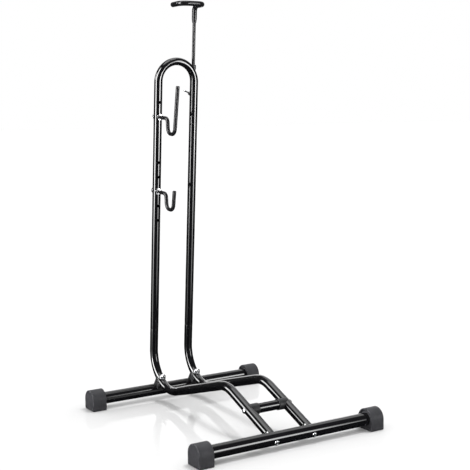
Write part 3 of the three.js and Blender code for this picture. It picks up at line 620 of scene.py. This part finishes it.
def piece(node, mesh, matrix, slot, body="stand", sharp=32):
    """Takes a CAD node's place on its body. No point leaves the CAD model's box."""
    mesh = moved(mesh, TO_METRES @ matrix)
    mesh.name = node
    for vertex in mesh.vertices:
        vertex.co = [max(low, min(high, c)) for c, low, high in zip(vertex.co, *cad_box)]
    for polygon in mesh.polygons:
        polygon.use_smooth = True
    mesh.set_sharp_from_angle(angle=math.radians(sharp))
    mesh.materials.clear()
    mesh.materials.append(SLOTS[slot])
    made = bpy.data.objects.new("fine_" + node, mesh)
    bpy.context.scene.collection.objects.link(made)
    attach(made, body)
    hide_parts(node)
    return made


def both(node, mesh, slot):
    """The same piece in the plane of each side tube."""
    for hand, side in (("left", -1), ("right", 1)):
        piece(f"{node}_{hand}", mesh, side_plane(side), slot)


# ---------------------------------------------------------------- side tubes' centre line
SADDLE_FROM = 60
SADDLE_TO = 420
MOUTH_RUN = 6
MOUTH_EDGE = 0.5
MOUTH_HOLLOW = 3

leg_down = yz(math.sin(LEAN), -math.cos(LEAN))
front_axis = yz(-HALF_TRACK, CROSS_HEIGHT)
rear_axis = yz(HALF_TRACK, CROSS_HEIGHT)
ramp_down = yz(math.cos(RAMP), -math.sin(RAMP))
along_descent = yz(math.cos(DESCENT), math.sin(DESCENT))
square_to_descent = yz(-math.sin(DESCENT), math.cos(DESCENT))


def on_leg(height):
    return yz(LEG_FOOT_Y, 0) - leg_down * height


def meeting(a, along_a, b, along_b):
    """Where the lines through a and b cross."""
    det = along_a.y * along_b.z - along_a.z * along_b.y
    return a + along_a * (((b.y - a.y) * along_b.z - (b.z - a.z) * along_b.y) / det)


heel = on_leg(HEEL_HEIGHT)
hump = meeting(front_axis, along_descent, heel, ramp_down)
heel_turn = leg_down.angle(-ramp_down)
heel_inward = (-leg_down - ramp_down).normalized()
bend_centre = heel + heel_inward * (SIDE_BEND_RADIUS / math.cos(heel_turn / 2))
rear_bolt_axis = (bend_centre - rear_axis).normalized()
rear_tube_distance = (bend_centre - rear_axis).length - SIDE_BEND_RADIUS
spigot_end = SPIGOT_LENGTH + CLEARANCE
neck_end = (SEAM_HEIGHT + SPIGOT_LENGTH - HEEL_HEIGHT - SIDE_BEND_RADIUS * math.tan(heel_turn / 2)
            + SIDE_BEND_RADIUS * heel_turn)
side_path = bent_path([on_leg(SEAM_HEIGHT + SPIGOT_LENGTH), heel, hump, front_axis],
                      [SIDE_BEND_RADIUS, HUMP_BEND_RADIUS])


def side_radius(s):
    """The neck is slimmer than the tube and widens past the valley bend."""
    return NECK_RADIUS + (SIDE_RADIUS - NECK_RADIUS) * smooth((s - neck_end) / NECK_TAPER)


def side_tube_mesh():
    """The spigot, its shoulder with a rounded edge, the tube, and an end fitted to the cross tube."""
    reach = CROSS_RADIUS + CLEARANCE
    spigot = LOOP_BORE - CLEARANCE
    pairs = [(TUBE_EDGE, spigot - TUBE_EDGE), (2 * TUBE_EDGE, spigot), (spigot_end - SHOULDER_STEP, spigot)]
    pairs += side_path.run(side_radius, spigot_end, side_path.length - reach - MOUTH_RUN, (SHOULDER_EDGE, 0))
    rings = [side_path.ring(TUBE_EDGE, 0, TUBE_SIDES, 0)]
    rings += [side_path.ring(s, r, TUBE_SIDES, BEND_FLATTENING) for s, r in pairs]
    mouth = [(SIDE_RADIUS, MOUTH_EDGE), (SIDE_RADIUS - 0.3 * MOUTH_EDGE, 0.3 * MOUTH_EDGE),
             (SIDE_RADIUS - MOUTH_EDGE, 0), (SIDE_RADIUS - SIDE_WALL, 0)]
    for radius, gap in mouth:
        ring = []
        for point in side_path.ring(side_path.length, radius, TUBE_SIDES, 0):
            off = (point - front_axis).dot(square_to_descent)
            ring.append(point + along_descent * (math.sqrt(reach ** 2 - off ** 2) + gap))
        rings.append(ring)
    rings.append([front_axis + along_descent * (reach + MOUTH_HOLLOW)])
    return loft(rings)


both("side_tube", side_tube_mesh(), "tube_black")


def side_outline(grow):
    """The side tube's stretch by the rear saddle, grown all round."""
    stops = [s for s in side_path.lengths if SADDLE_FROM < s < SADDLE_TO]
    rings = [side_path.ring(SADDLE_FROM, 0, TUBE_SIDES, 0)]
    rings += [side_path.ring(s, side_radius(s) + grow, TUBE_SIDES, BEND_FLATTENING) for s in stops]
    rings.append(side_path.ring(SADDLE_TO, 0, TUBE_SIDES, 0))
    return loft(rings)


# ---------------------------------------------------------------- cross tubes and feet
cross_half = FOOT_OUTER - FOOT_END_WALL - CLEARANCE
for end, axis in (("rear", rear_axis), ("front", front_axis)):
    tube = rod_shape(CROSS_RADIUS, -cross_half, cross_half, TUBE_EDGE, CROSS_SIDES)
    piece(f"{end}_cross_tube", tube, placed(axis, X), "tube_black")


def foot_outline(inset, depth):
    """A flat base with round corners, straight sides and a round top, at one depth along the foot."""
    half = FOOT_WIDTH / 2 - inset
    corner = max(FOOT_CORNER - inset, FOOT_LIP_CORNER)
    base = [(-half + corner + corner * math.cos(t), inset + corner + corner * math.sin(t))
            for t in angles(math.pi, math.pi / 2, 6)]
    base += [(half - corner + corner * math.cos(t), inset + corner + corner * math.sin(t))
             for t in angles(1.5 * math.pi, math.pi / 2, 6)]
    top = [(half * math.cos(t), CROSS_HEIGHT + half * math.sin(t)) for t in angles(0, math.pi, 60)]
    return [Vector((x, y, depth)) for x, y in base + top]


def foot_mesh():
    """A moulded cap from depth 0 at its mouth to its closed end, with a socket and grooves below."""
    mid = Vector((0, CROSS_HEIGHT, 0))
    straight = FOOT_LENGTH - FOOT_EDGE - FOOT_RIM
    profile = [(FOOT_RIM, 0), (0.3 * FOOT_RIM, 0.3 * FOOT_RIM), (0, FOOT_RIM)]
    profile += [(0, FOOT_RIM + straight * (k + 1) / 9) for k in range(9)]
    profile += [(FOOT_EDGE * (1 - math.cos(t)), FOOT_LENGTH - FOOT_EDGE + FOOT_EDGE * math.sin(t))
                for t in angles(0, math.pi / 2, 6)[1:]]
    rings = [[mid.copy()]] + [foot_outline(inset, depth) for inset, depth in profile]
    rings.append([mid + Z * FOOT_LENGTH])
    before_mouth = -2
    lip = loft([[mid + Z * before_mouth], foot_outline(FOOT_LIP_WALL, before_mouth),
                foot_outline(FOOT_LIP_WALL, FOOT_LIP_DEPTH - FOOT_LIP_EDGE),
                foot_outline(FOOT_LIP_WALL + FOOT_LIP_EDGE, FOOT_LIP_DEPTH), [mid + Z * FOOT_LIP_DEPTH]])
    socket = rod_shape(CROSS_RADIUS + CLEARANCE, before_mouth - 1, FOOT_LENGTH - FOOT_END_WALL, 0, TUBE_SIDES)
    tools = [lip, moved(socket, Matrix.Translation(mid))]
    for i in range(FOOT_GROOVES):
        at = ((i + 0.5) / FOOT_GROOVES - 0.5) * (FOOT_WIDTH - 2 * FOOT_EDGE)
        size = (FOOT_GROOVE_WIDTH, 2 * FOOT_GROOVE_DEPTH, FOOT_LENGTH * 2)
        tools.append(box_shape(size, (at, 0, FOOT_LENGTH / 2), FOOT_GROOVE_EDGE, 2))
    return combined(loft(rings), tools)


foot = foot_mesh()
for end, y in (("rear", HALF_TRACK), ("front", -HALF_TRACK)):
    for hand, side in (("left", -1), ("right", 1)):
        outwards = Matrix(((0, 0, side), (side, 0, 0), (0, 1, 0))).to_4x4()
        at = Matrix.Translation((side * (FOOT_OUTER - FOOT_LENGTH), y, 0))
        piece(f"foot_{end}_{hand}", foot, at @ outwards, "feet", sharp=40)

# ---------------------------------------------------------------- wheel stop bar
stop_axis = front_axis + yz(STOP_BAR_SETBACK, STOP_BAR_SETBACK * math.tan(DESCENT))
stop_half = HALF_SPACING - SIDE_RADIUS - STOP_SADDLE_LENGTH
STOP = Matrix.Translation((skew_shift(stop_axis.y), 0, 0))
stop_bar = rod_shape(STOP_BAR_RADIUS, -stop_half, stop_half, TUBE_EDGE, TUBE_SIDES)
piece("wheel_stop_bar", stop_bar, STOP @ placed(stop_axis, X), "tube_black")


def stop_saddle_mesh():
    """The right collar: a pocket for the bar's end and a seat for the side tube."""
    pocket_radius = STOP_BAR_RADIUS + CLEARANCE
    mouth = stop_half - STOP_SADDLE_OVERLAP
    blank = rod_shape(pocket_radius + STOP_SADDLE_WALL, mouth, HALF_SPACING, STOP_SADDLE_EDGE, TUBE_SIDES)
    pocket = rod_shape(pocket_radius, mouth - STOP_SADDLE_OVERLAP, stop_half + CLEARANCE, 0, TUBE_SIDES)
    seat = rod_shape(SIDE_RADIUS + CLEARANCE, -LONG_CUT, LONG_CUT, 0, CROSS_SIDES)
    on_bar = placed(stop_axis, X)
    on_tube = placed(stop_axis + X * HALF_SPACING, along_descent)
    return combined(moved(blank, on_bar), [moved(pocket, on_bar), moved(seat, on_tube)])


stop_saddle = stop_saddle_mesh()
piece("stop_saddle_right", stop_saddle, STOP, "moulded_black")
piece("stop_saddle_left", stop_saddle, STOP @ MIRROR, "moulded_black")


# ---------------------------------------------------------------- bolts, nuts and washers
def dome_bolt(length):
    """A button head below z = 0 with a hexagon socket, and a shank up to length."""
    profile = [(0, -BOLT_HEAD_HEIGHT)]
    for t in angles(0, math.pi / 2, 12)[1:-1]:
        height = max(-BOLT_HEAD_HEIGHT * math.cos(t) - BOLT_HEAD_FLAT, -BOLT_HEAD_HEIGHT)
        profile.append((BOLT_HEAD_RADIUS * math.sin(t), height))
    profile += [(BOLT_HEAD_RADIUS, -BOLT_HEAD_RIM), (BOLT_HEAD_RADIUS - BOLT_HEAD_CHAMFER, 0), (BOLT_RADIUS, 0)]
    profile += [(BOLT_RADIUS, length - BOLT_TIP), (BOLT_RADIUS - BOLT_TIP, length), (0, length)]
    socket = rod_shape(SOCKET_WIDTH / math.sqrt(3), -BOLT_HEAD_HEIGHT - 1, SOCKET_DEPTH - BOLT_HEAD_HEIGHT, 0, 6)
    return combined(lathe(profile, SMALL_SIDES), [socket])


def washer_mesh(bore):
    return ring_shape(WASHER_RADIUS, bore, 0, WASHER_THICKNESS, WASHER_EDGE, SMALL_SIDES)


def hexagon(height):
    """A hexagon prism with its corners turned down at both ends."""
    corner = NUT_ACROSS_FLATS / math.sqrt(3)
    flat = NUT_ACROSS_FLATS / 2
    drop = (corner - flat) * NUT_TURNED_DROP
    face = flat * NUT_TURNED_FACE
    bottom, top = -HAIR, height + HAIR
    turned = lathe([(0, bottom), (face, bottom), (corner, drop), (corner, height - drop), (face, top), (0, top)],
                   SMALL_SIDES)
    return combined(rod_shape(corner, 0, height, 0, 6), [turned], "INTERSECT")


def plain_nut(bore):
    return combined(hexagon(NUT_HEIGHT), [rod_shape(bore, -1, NUT_HEIGHT + 1, 0, NUT_BORE_SIDES)])


def cap_nut(bore):
    dome = NUT_ACROSS_FLATS / 2 - CAP_NUT_STEP
    profile = [(0, NUT_HEIGHT - 1), (dome, NUT_HEIGHT - 1)]
    profile += [(dome * math.cos(t), NUT_HEIGHT + CAP_NUT_DOME * math.sin(t))
                for t in angles(0, math.pi / 2, 8)[:-1]]
    profile.append((0, NUT_HEIGHT + CAP_NUT_DOME))
    return together(plain_nut(bore), lathe(profile, SMALL_SIDES))


# A washer on the bend's hollow side rests on its rim, clear of the bend's facets.
bend_hollow = SIDE_BEND_RADIUS - NECK_RADIUS * (1 - BEND_FLATTENING)
facet_rise = bend_hollow * (1 - math.cos(math.radians(SIDE_BEND_STEP / 2)))
rim_rise = bend_hollow - math.sqrt(bend_hollow ** 2 - WASHER_RADIUS ** 2) + facet_rise
washer_at = rear_tube_distance + SIDE_BEND_RADIUS - bend_hollow + rim_rise + CLEARANCE
nut_at = washer_at + WASHER_THICKNESS + CLEARANCE
rear_length = CROSS_RADIUS + CLEARANCE + nut_at + NUT_HEIGHT - CLEARANCE


def at_rear(mesh, distance):
    return moved(mesh, placed(rear_axis + rear_bolt_axis * distance, rear_bolt_axis))


both("rear_bolt", at_rear(dome_bolt(rear_length), -CROSS_RADIUS - CLEARANCE), "zinc")
both("rear_washer", at_rear(washer_mesh(BOLT_HOLE), washer_at), "zinc")
both("rear_cap_nut", at_rear(cap_nut(BOLT_RADIUS + CLEARANCE), nut_at), "zinc")

middle = rear_tube_distance - SIDE_RADIUS / 2
block = box_shape((REAR_SADDLE_WIDTH, REAR_SADDLE_LENGTH, middle), (0, 0, middle / 2 + CROSS_RADIUS / 2),
                  REAR_SADDLE_EDGE)
cross_seat = rod_shape(CROSS_RADIUS + CLEARANCE, -LONG_CUT, LONG_CUT, 0, CROSS_SIDES)
rear_saddle = combined(at_rear(block, 0), [side_outline(CLEARANCE), moved(cross_seat, placed(rear_axis, X))])
both("rear_saddle", rear_saddle, "moulded_black")

front_head = front_axis - along_descent * (CROSS_RADIUS + CLEARANCE)
front_bolt = dome_bolt(2 * CROSS_RADIUS + 2 * CLEARANCE + THREAD_GRIP)
both("front_bolt", moved(front_bolt, placed(front_head, along_descent)), "zinc")

stop_head = HALF_SPACING + SIDE_RADIUS + CLEARANCE
stop_bolt = moved(dome_bolt(stop_head - stop_half + THREAD_GRIP), placed(stop_axis + X * stop_head, -X))
piece("stop_bar_bolt_right", stop_bolt, STOP, "zinc")
piece("stop_bar_bolt_left", stop_bolt, STOP @ MIRROR, "zinc")

# ---------------------------------------------------------------- the upside-down U
LOOP_STEPS = 96
LOOP_EASE = 16

loop_path = Path(Y)
seam_end = SEAM_HEIGHT + CLEARANCE
loop_path.add(Vector((-HALF_SPACING, 0, seam_end)), Z, 0)
for k, t in enumerate(angles(0, math.pi, LOOP_STEPS)):
    spot = Vector((-HALF_SPACING * math.cos(t), 0, LOOP_SPRING_HEIGHT + HALF_SPACING * math.sin(t)))
    share = smooth(min(k, LOOP_STEPS - k) / LOOP_EASE)
    loop_path.add(spot, Vector((math.sin(t), 0, math.cos(t))), share)
loop_path.add(Vector((HALF_SPACING, 0, seam_end)), -Z, 0)
loop_path.finish()


def loop_mesh():
    """The bent tube with the left leg's hook holes, the clamp screw's hole and the bush's hole."""
    tube = hollow_sweep(loop_path, lambda s: LOOP_RADIUS, lambda s: LOOP_BORE, 0, loop_path.length, LOOP_EDGE,
                        TUBE_SIDES, LOOP_BEND_FLATTENING)
    hook_hole = rod_shape(HOOK_ROD_RADIUS + RUNNING_CLEARANCE, -SHORT_CUT, SHORT_CUT, 0, HOLE_SIDES)
    screw_hole = rod_shape(CLAMP_SCREW_RADIUS + RUNNING_CLEARANCE, 0, SHORT_CUT, 0, HOLE_SIDES)
    bush_hole = rod_shape(BUSH_RADIUS + CLEARANCE, LOOP_SPRING_HEIGHT, LOOP_SPRING_HEIGHT + 110, 0, SMALL_SIDES)
    tools = [moved(hook_hole, placed((-HALF_SPACING, 0, z), Y)) for z in HOLE_HEIGHTS]
    tools.append(moved(screw_hole, placed((HALF_SPACING, 0, CLAMP_HEIGHT), Y)))
    tools.append(moved(bush_hole, Matrix.Translation((HALF_SPACING - ROD_INSET, ROD_INSET, 0))))
    return combined(tube, tools)


piece("upper_loop", loop_mesh(), LOOP, "tube_black")

# ---------------------------------------------------------------- J hooks
nut_gap = LOOP_RADIUS + CLEARANCE
sleeve_start = nut_gap + WASHER_THICKNESS + 2 * CLEARANCE + NUT_HEIGHT


def hook_corners(tip_rise):
    heel_y = -HOOK_REACH - HOOK_DROP * math.tan(HOOK_DOWN_SPLAY)
    toe_y = heel_y - HOOK_THROAT
    climb = HOOK_DROP + tip_rise
    return [yz(-sleeve_start, 0), yz(-HOOK_REACH, 0), yz(heel_y, -HOOK_DROP), yz(toe_y, -HOOK_DROP),
            yz(toe_y - climb * math.tan(HOOK_TIP_SPLAY), tip_rise)]


def add_hook(prefix, height, tip_rise):
    """The soft sleeve, and the washers and nuts on both sides of the left leg."""
    place = LOOP @ Matrix.Translation((-HALF_SPACING, 0, height))
    body = prefix + "_hook"
    path = bent_path(hook_corners(tip_rise), HOOK_RADII)
    sleeve = solid_sweep(path, lambda s: HOOK_SLEEVE_RADIUS, 0, path.length, HOOK_SLEEVE_EDGES, SMALL_SIDES)
    piece(body + "_sleeve", sleeve, place, "hook_sleeves", body)
    bore = HOOK_ROD_RADIUS + CLEARANCE
    seat = nut_gap + WASHER_THICKNESS + CLEARANCE
    washer = washer_mesh(bore)
    piece(body + "_front_washer", washer, place @ placed(yz(-nut_gap, 0), -Y), "zinc", body)
    piece(body + "_rear_washer", washer, place @ placed(yz(nut_gap, 0), Y), "zinc", body)
    piece(body + "_front_nut", plain_nut(bore), place @ placed(yz(-seat, 0), -Y), "zinc", body)
    piece(body + "_cap_nut", cap_nut(bore), place @ placed(yz(seat, 0), Y), "cap_nut_black", body)


add_hook("upper", UPPER_HOOK_HEIGHT, LONG_TIP_RISE)
add_hook("lower", LOWER_HOOK_HEIGHT, SHORT_TIP_RISE)

# ---------------------------------------------------------------- telescopic rod and its hook
rod_end = ROD_TOP - TOP_RADII[0]
rod = rod_shape(ROD_RADIUS, ROD_BOTTOM, rod_end, TUBE_EDGE, SMALL_SIDES)
piece("height_rod", rod, ROD, "rod_black", "top_rod")

forward = Vector((0, -math.cos(LEAN), math.sin(LEAN)))
sleeve_foot = Vector((0, 0, ROD_TOP - TOP_SLEEVE_DROP))
hook_shoulder = Vector((0, 0, ROD_TOP))
hook_front = hook_shoulder + forward * TOP_HOOK_REACH
hook_side = hook_front - X * TOP_HOOK_WIDTH
hook_tip = hook_side - forward * TOP_HOOK_TIP
top_path = bent_path([sleeve_foot, hook_shoulder, hook_front, hook_side, hook_tip], TOP_RADII)


def top_radius(s):
    return TOP_SLEEVE_RADIUS - TOP_SLEEVE_MOUTH * (1 - smooth(s / TOP_SLEEVE_TAPER))


top_sleeve = solid_sweep(top_path, top_radius, 0, top_path.length, TOP_SLEEVE_EDGES, HOOK_SIDES)
top_bore = rod_shape(ROD_RADIUS + CLEARANCE, ROD_TOP - TOP_SLEEVE_DROP - 5, rod_end, 0, SMALL_SIDES)
piece("top_hook_sleeve", combined(top_sleeve, [top_bore]), ROD, "hook_sleeves", "top_rod")

# Distances along the loop. The shape that fits the bush's collar to the tube starts at a point
# and has the tube's full size from the second distance on, well before the shoulder.
SEAT_START = 300
SEAT_TUBE = 400

rod_x = HALF_SPACING - ROD_INSET
shoulder_top = LOOP_SPRING_HEIGHT + math.sqrt((HALF_SPACING + LOOP_RADIUS) ** 2 - rod_x ** 2)


def bush_mesh():
    """A collar that sits on the shoulder, with a pipe through the tube's wall and a bore for the rod."""
    top = shoulder_top + BUSH_RISE
    collar = rod_shape(BUSH_RADIUS + BUSH_COLLAR_WALL, shoulder_top - BUSH_RISE, top, BUSH_COLLAR_EDGE, ROUND_SIDES)
    stops = [s for s in loop_path.lengths if s > SEAT_TUBE]
    rings = [loop_path.ring(SEAT_START, 0, TUBE_SIDES, 0)]
    rings += [loop_path.ring(s, LOOP_RADIUS + CLEARANCE, TUBE_SIDES, LOOP_BEND_FLATTENING) for s in stops]
    rings.append(loop_path.ring(loop_path.length, 0, TUBE_SIDES, 0))
    seated = combined(collar, [moved(loft(rings), Matrix.Translation((-rod_x, -ROD_INSET, 0)))])
    pipe = rod_shape(BUSH_RADIUS, shoulder_top - BUSH_RISE * 1.5, top - 0.5, 0.3, ROUND_SIDES)
    bore = rod_shape(BUSH_BORE, LOOP_SPRING_HEIGHT, top + BUSH_RISE, 0, ROUND_SIDES)
    return combined(combined(seated, [pipe], "UNION"), [bore])


piece("rod_guide_bush", bush_mesh(), ROD, "moulded_black")

# ---------------------------------------------------------------- clamp boss and wing screw
along_y = placed((0, 0, 0), Y)
boss_end = LOOP_RADIUS + CLAMP_BOSS_HEIGHT
boss = ring_shape(CLAMP_BOSS_RADIUS, CLAMP_SCREW_RADIUS + RUNNING_CLEARANCE, 0, boss_end, CLAMP_BOSS_EDGE, ROUND_SIDES)
leg_seat = rod_shape(LOOP_RADIUS + CLEARANCE, -SHORT_CUT, SHORT_CUT, 0, CROSS_SIDES)
piece("clamp_boss", combined(moved(boss, along_y), [leg_seat]), CLAMP, "tube_black")


def curve(a, b, c, steps=8):
    """Points from a to c, without a itself, on a curve drawn towards b."""
    points = []
    for k in range(1, steps + 1):
        t = k / steps
        points.append(tuple((1 - t) ** 2 * a[i] + 2 * t * (1 - t) * b[i] + t * t * c[i] for i in (0, 1)))
    return points


def wing_outline():
    """Half of the wings seen flat: out from the hub along the lower side, round the lobe, and back."""
    lobe = WING_SPAN / 2 - WING_LOBE_RADIUS
    outline = [(0, WING_ROOT[1]), WING_ROOT]
    outline += curve(WING_ROOT, (lobe * 0.8, 3), (lobe + 2, WING_RISE - 3.5))
    outline += [(lobe + WING_LOBE_RADIUS * math.cos(t), WING_RISE + WING_LOBE_RADIUS * math.sin(t))
                for t in angles(-1, 3, 12)]
    outline += curve(outline[-1], (lobe * 0.5, WING_RISE - 1), (0, WING_SADDLE_RISE))
    return outline


def wing_plate(start):
    """Half of the wings as a plate with rounded rims, open to the other half at x = 0."""
    shape = bmesh.new()
    face = shape.faces.new([shape.verts.new((x, start + y, -WING_THICKNESS / 2)) for x, y in wing_outline()])
    made = bmesh.ops.extrude_face_region(shape, geom=[face])
    for item in made["geom"]:
        if isinstance(item, bmesh.types.BMVert):
            item.co.z += WING_THICKNESS
    bmesh.ops.recalc_face_normals(shape, faces=shape.faces)
    rims = [e for e in shape.edges if abs(e.verts[0].co.z - e.verts[1].co.z) < 1e-5
            and max(v.co.x for v in e.verts) > 0.01]
    bmesh.ops.bevel(shape, geom=rims, offset=WING_EDGE, segments=3, profile=0.5, affect="EDGES")
    plate = bpy.data.meshes.new("part")
    shape.to_mesh(plate)
    shape.free()
    return plate


def wing_screw_mesh():
    hub = WING_HUB_RADIUS
    start = boss_end + 2 * CLEARANCE
    top = start + WING_HUB_HEIGHT
    tip = ROD_INSET + ROD_RADIUS + RUNNING_CLEARANCE
    r = CLAMP_SCREW_RADIUS
    profile = [(0, tip), (r - 0.8, tip), (r, tip + 1), (r, start), (hub - 0.4, start), (hub, start + 0.4)]
    profile += [(hub * 0.86, top - 1.2), (hub * 0.7, top - 0.2), (hub * 0.5, top), (0, top)]
    shank = moved(lathe(profile, SMALL_SIDES), along_y)
    plate = wing_plate(start)
    return moved(together(shank, plate, moved(plate, MIRROR)), Matrix.Rotation(WING_REST_ANGLE, 4, "Y"))


piece("wing_screw", wing_screw_mesh(), CLAMP, "zinc", "wing_screw", sharp=40)

# ---------------------------------------------------------------- CAD nodes that stay
for entry in frame["record"]["subparts"]:
    node = frame["nodes"][entry["node"]]
    if not node.hide_render:
        node.data.materials.clear()
        node.data.materials.append(SLOTS[entry["material_slot"]])

# ---------------------------------------------------------------- camera
AZIMUTH = math.radians(-32.235)
ELEVATION = math.radians(6.535)
ROLL = math.radians(-0.852)
EYE = (-1.3744, -2.2257, 0.7753)
LENS = 79.74
SENSOR = 36
FARTHEST = 200

right = Vector((math.cos(AZIMUTH), math.sin(AZIMUTH), 0))
back = Vector((math.sin(AZIMUTH) * math.cos(ELEVATION), -math.cos(AZIMUTH) * math.cos(ELEVATION),
               math.sin(ELEVATION)))
up = back.cross(right)
rolled_right = right * math.cos(ROLL) + up * math.sin(ROLL)
rolled_up = up * math.cos(ROLL) - right * math.sin(ROLL)
camera_data = bpy.data.cameras.new("camera")
camera_data.lens = LENS
camera_data.sensor_width = SENSOR
camera_data.clip_end = FARTHEST
camera = bpy.data.objects.new("camera", camera_data)
bpy.context.scene.collection.objects.link(camera)
camera.matrix_world = (Matrix.Translation((EYE[0], EYE[1] + shift, EYE[2]))
                       @ Matrix((rolled_right, rolled_up, back)).transposed().to_4x4())
bpy.context.scene.camera = camera
bpy.context.scene.view_settings.view_transform = "Standard"

# ---------------------------------------------------------------- floor, in metres
FLOOR_HALF = 60
FLOOR_DROP = 0.0002
FLOOR_GREY = (0.84, 0.84, 0.84)
FLOOR_POLISH = 0.06
WHITE = (1, 1, 1)


def floor_material():
    """White, with a faint mirror image behind the front tube. Tubes mirror the light below through it, darkened near
    the rack by painted shade.
    """
    material = bpy.data.materials.new("studio_floor")
    material.use_nodes = True
    tree = material.node_tree
    tree.nodes.clear()
    place = tree.nodes.new("ShaderNodeTexCoord").outputs["Object"]
    split = tree.nodes.new("ShaderNodeSeparateXYZ")
    tree.links.new(place, split.inputs[0])
    length = tree.nodes.new("ShaderNodeVectorMath")
    length.operation = "LENGTH"
    tree.links.new(place, length.inputs[0])
    away = length.outputs["Value"]

    # The mirror image fades towards the front, the left and with distance.
    backwards = ramp(tree, split.outputs["Y"], -0.32, 0.05, 0.03, 0.15)
    rightwards = ramp(tree, split.outputs["X"], -0.3, -0.12, 0.3, 1)
    mirrored = calculate(tree, "MULTIPLY", backwards, rightwards)
    mirrored = calculate(tree, "MULTIPLY", mirrored, ramp(tree, away, 0.5, 1.2, 1, 0.15))
    diffuse = tree.nodes.new("ShaderNodeBsdfDiffuse")
    diffuse.inputs["Color"].default_value = (*FLOOR_GREY, 1)
    gloss = tree.nodes.new("ShaderNodeBsdfGlossy")
    gloss.inputs["Color"].default_value = (*WHITE, 1)
    gloss.inputs["Roughness"].default_value = FLOOR_POLISH
    seen = blend_shaders(tree, mirrored, diffuse.outputs[0], gloss.outputs[0])

    # Painted shade: what the tubes mirror through the floor is tinted dark near the rack and clears with distance.
    painted_shade_tint = blend_colour(tree, ramp(tree, away, 0.6, 5.0, 0, 1), (0.14, 0.14, 0.14), WHITE)
    painted_shade_tint = blend_colour(tree, ramp(tree, away, 0.4, 0.9, 0, 1), (0.02, 0.02, 0.02), painted_shade_tint)
    through = tree.nodes.new("ShaderNodeBsdfTransparent")
    tree.links.new(painted_shade_tint, through.inputs["Color"])

    ray = tree.nodes.new("ShaderNodeLightPath")
    look = blend_shaders(tree, ray.outputs["Is Glossy Ray"], seen, through.outputs[0])
    output = tree.nodes.new("ShaderNodeOutputMaterial")
    tree.links.new(look, output.inputs["Surface"])
    return material


floor_corners = [(x * FLOOR_HALF, y * FLOOR_HALF, -FLOOR_DROP) for x, y in ((-1, -1), (1, -1), (1, 1), (-1, 1))]
floor_mesh = mesh_of(floor_corners, [(0, 1, 2, 3)])
floor_mesh.materials.append(floor_material())
floor = bpy.data.objects.new("floor", floor_mesh)
bpy.context.scene.collection.objects.link(floor)

# ---------------------------------------------------------------- studio surroundings
AMBIENT = 0.92
BACKDROP = 1.0
MIRRORED_BASE = 0.05
OVERHEAD = 2.6
PANEL_SOFT_HEIGHT = 0.12
SUN_ENERGY = 1.1
SUN_ANGLE = math.radians(16)
SUN_FROM = Vector((0.3, 0.0, 0.95))

world = bpy.data.worlds.new("studio")
bpy.context.scene.world = world
world.use_nodes = True
sky = world.node_tree
sky.nodes.clear()
direction = sky.nodes.new("ShaderNodeSeparateXYZ")
sky.links.new(sky.nodes.new("ShaderNodeTexCoord").outputs["Generated"], direction.inputs[0])
height = direction.outputs["Z"]
bearing = calculate(sky, "ARCTAN2", direction.outputs["X"], calculate(sky, "MULTIPLY", direction.outputs["Y"], -1))


def softbox(centre, half_width, soft, low, high, strength):
    """A soft-edged panel: centre is its bearing in degrees from the -Y direction, towards +X."""
    across = band(sky, bearing, math.radians(centre - half_width), math.radians(centre + half_width),
                  math.radians(soft))
    upright = band(sky, height, low, high, PANEL_SOFT_HEIGHT)
    return calculate(sky, "MULTIPLY", calculate(sky, "MULTIPLY", across, upright), strength)


def background(strength):
    node = sky.nodes.new("ShaderNodeBackground")
    node.inputs["Color"].default_value = (*WHITE, 1)
    if isinstance(strength, float):
        node.inputs["Strength"].default_value = strength
    else:
        sky.links.new(strength, node.inputs["Strength"])
    return node.outputs[0]


panels = [
    # The legs' light lines, left and right.
    softbox(centre=-90, half_width=8, soft=5, low=-0.45, high=0.7, strength=23.0),
    softbox(centre=22, half_width=6, soft=4, low=-0.45, high=-0.1, strength=28.0),
    # The bands on the cross tubes.
    softbox(centre=32, half_width=2, soft=5.5, low=0.08, high=0.3, strength=9.5),
    softbox(centre=24, half_width=3, soft=4, low=0.12, high=0.22, strength=3.0),
    # The lines along the descents.
    softbox(centre=-128, half_width=7, soft=5, low=0.2, high=0.42, strength=12.0),
    # The tubes' upper edges.
    softbox(centre=130, half_width=25, soft=15, low=0.68, high=0.8, strength=1.3),
    # The white backdrop that the floor mirrors.
    softbox(centre=148, half_width=20, soft=8, low=0.02, high=0.42, strength=1.3),
]
overhead = calculate(sky, "MULTIPLY", ramp(sky, height, 0.86, 0.94, 0, 1), OVERHEAD)
mirrored_light = calculate(sky, "ADD", overhead, MIRRORED_BASE)
for panel in panels:
    mirrored_light = calculate(sky, "ADD", mirrored_light, panel)

ray = sky.nodes.new("ShaderNodeLightPath")
surroundings = blend_shaders(sky, ray.outputs["Is Glossy Ray"], background(AMBIENT), background(mirrored_light))
surroundings = blend_shaders(sky, ray.outputs["Is Camera Ray"], surroundings, background(BACKDROP))
sky_output = sky.nodes.new("ShaderNodeOutputWorld")
sky.links.new(surroundings, sky_output.inputs["Surface"])

sun_data = bpy.data.lights.new("key", "SUN")
sun_data.energy = SUN_ENERGY
sun_data.angle = SUN_ANGLE
sun = bpy.data.objects.new("key", sun_data)
bpy.context.scene.collection.objects.link(sun)
sun.rotation_euler = SUN_FROM.to_track_quat("Z", "Y").to_euler()
sun.visible_glossy = False
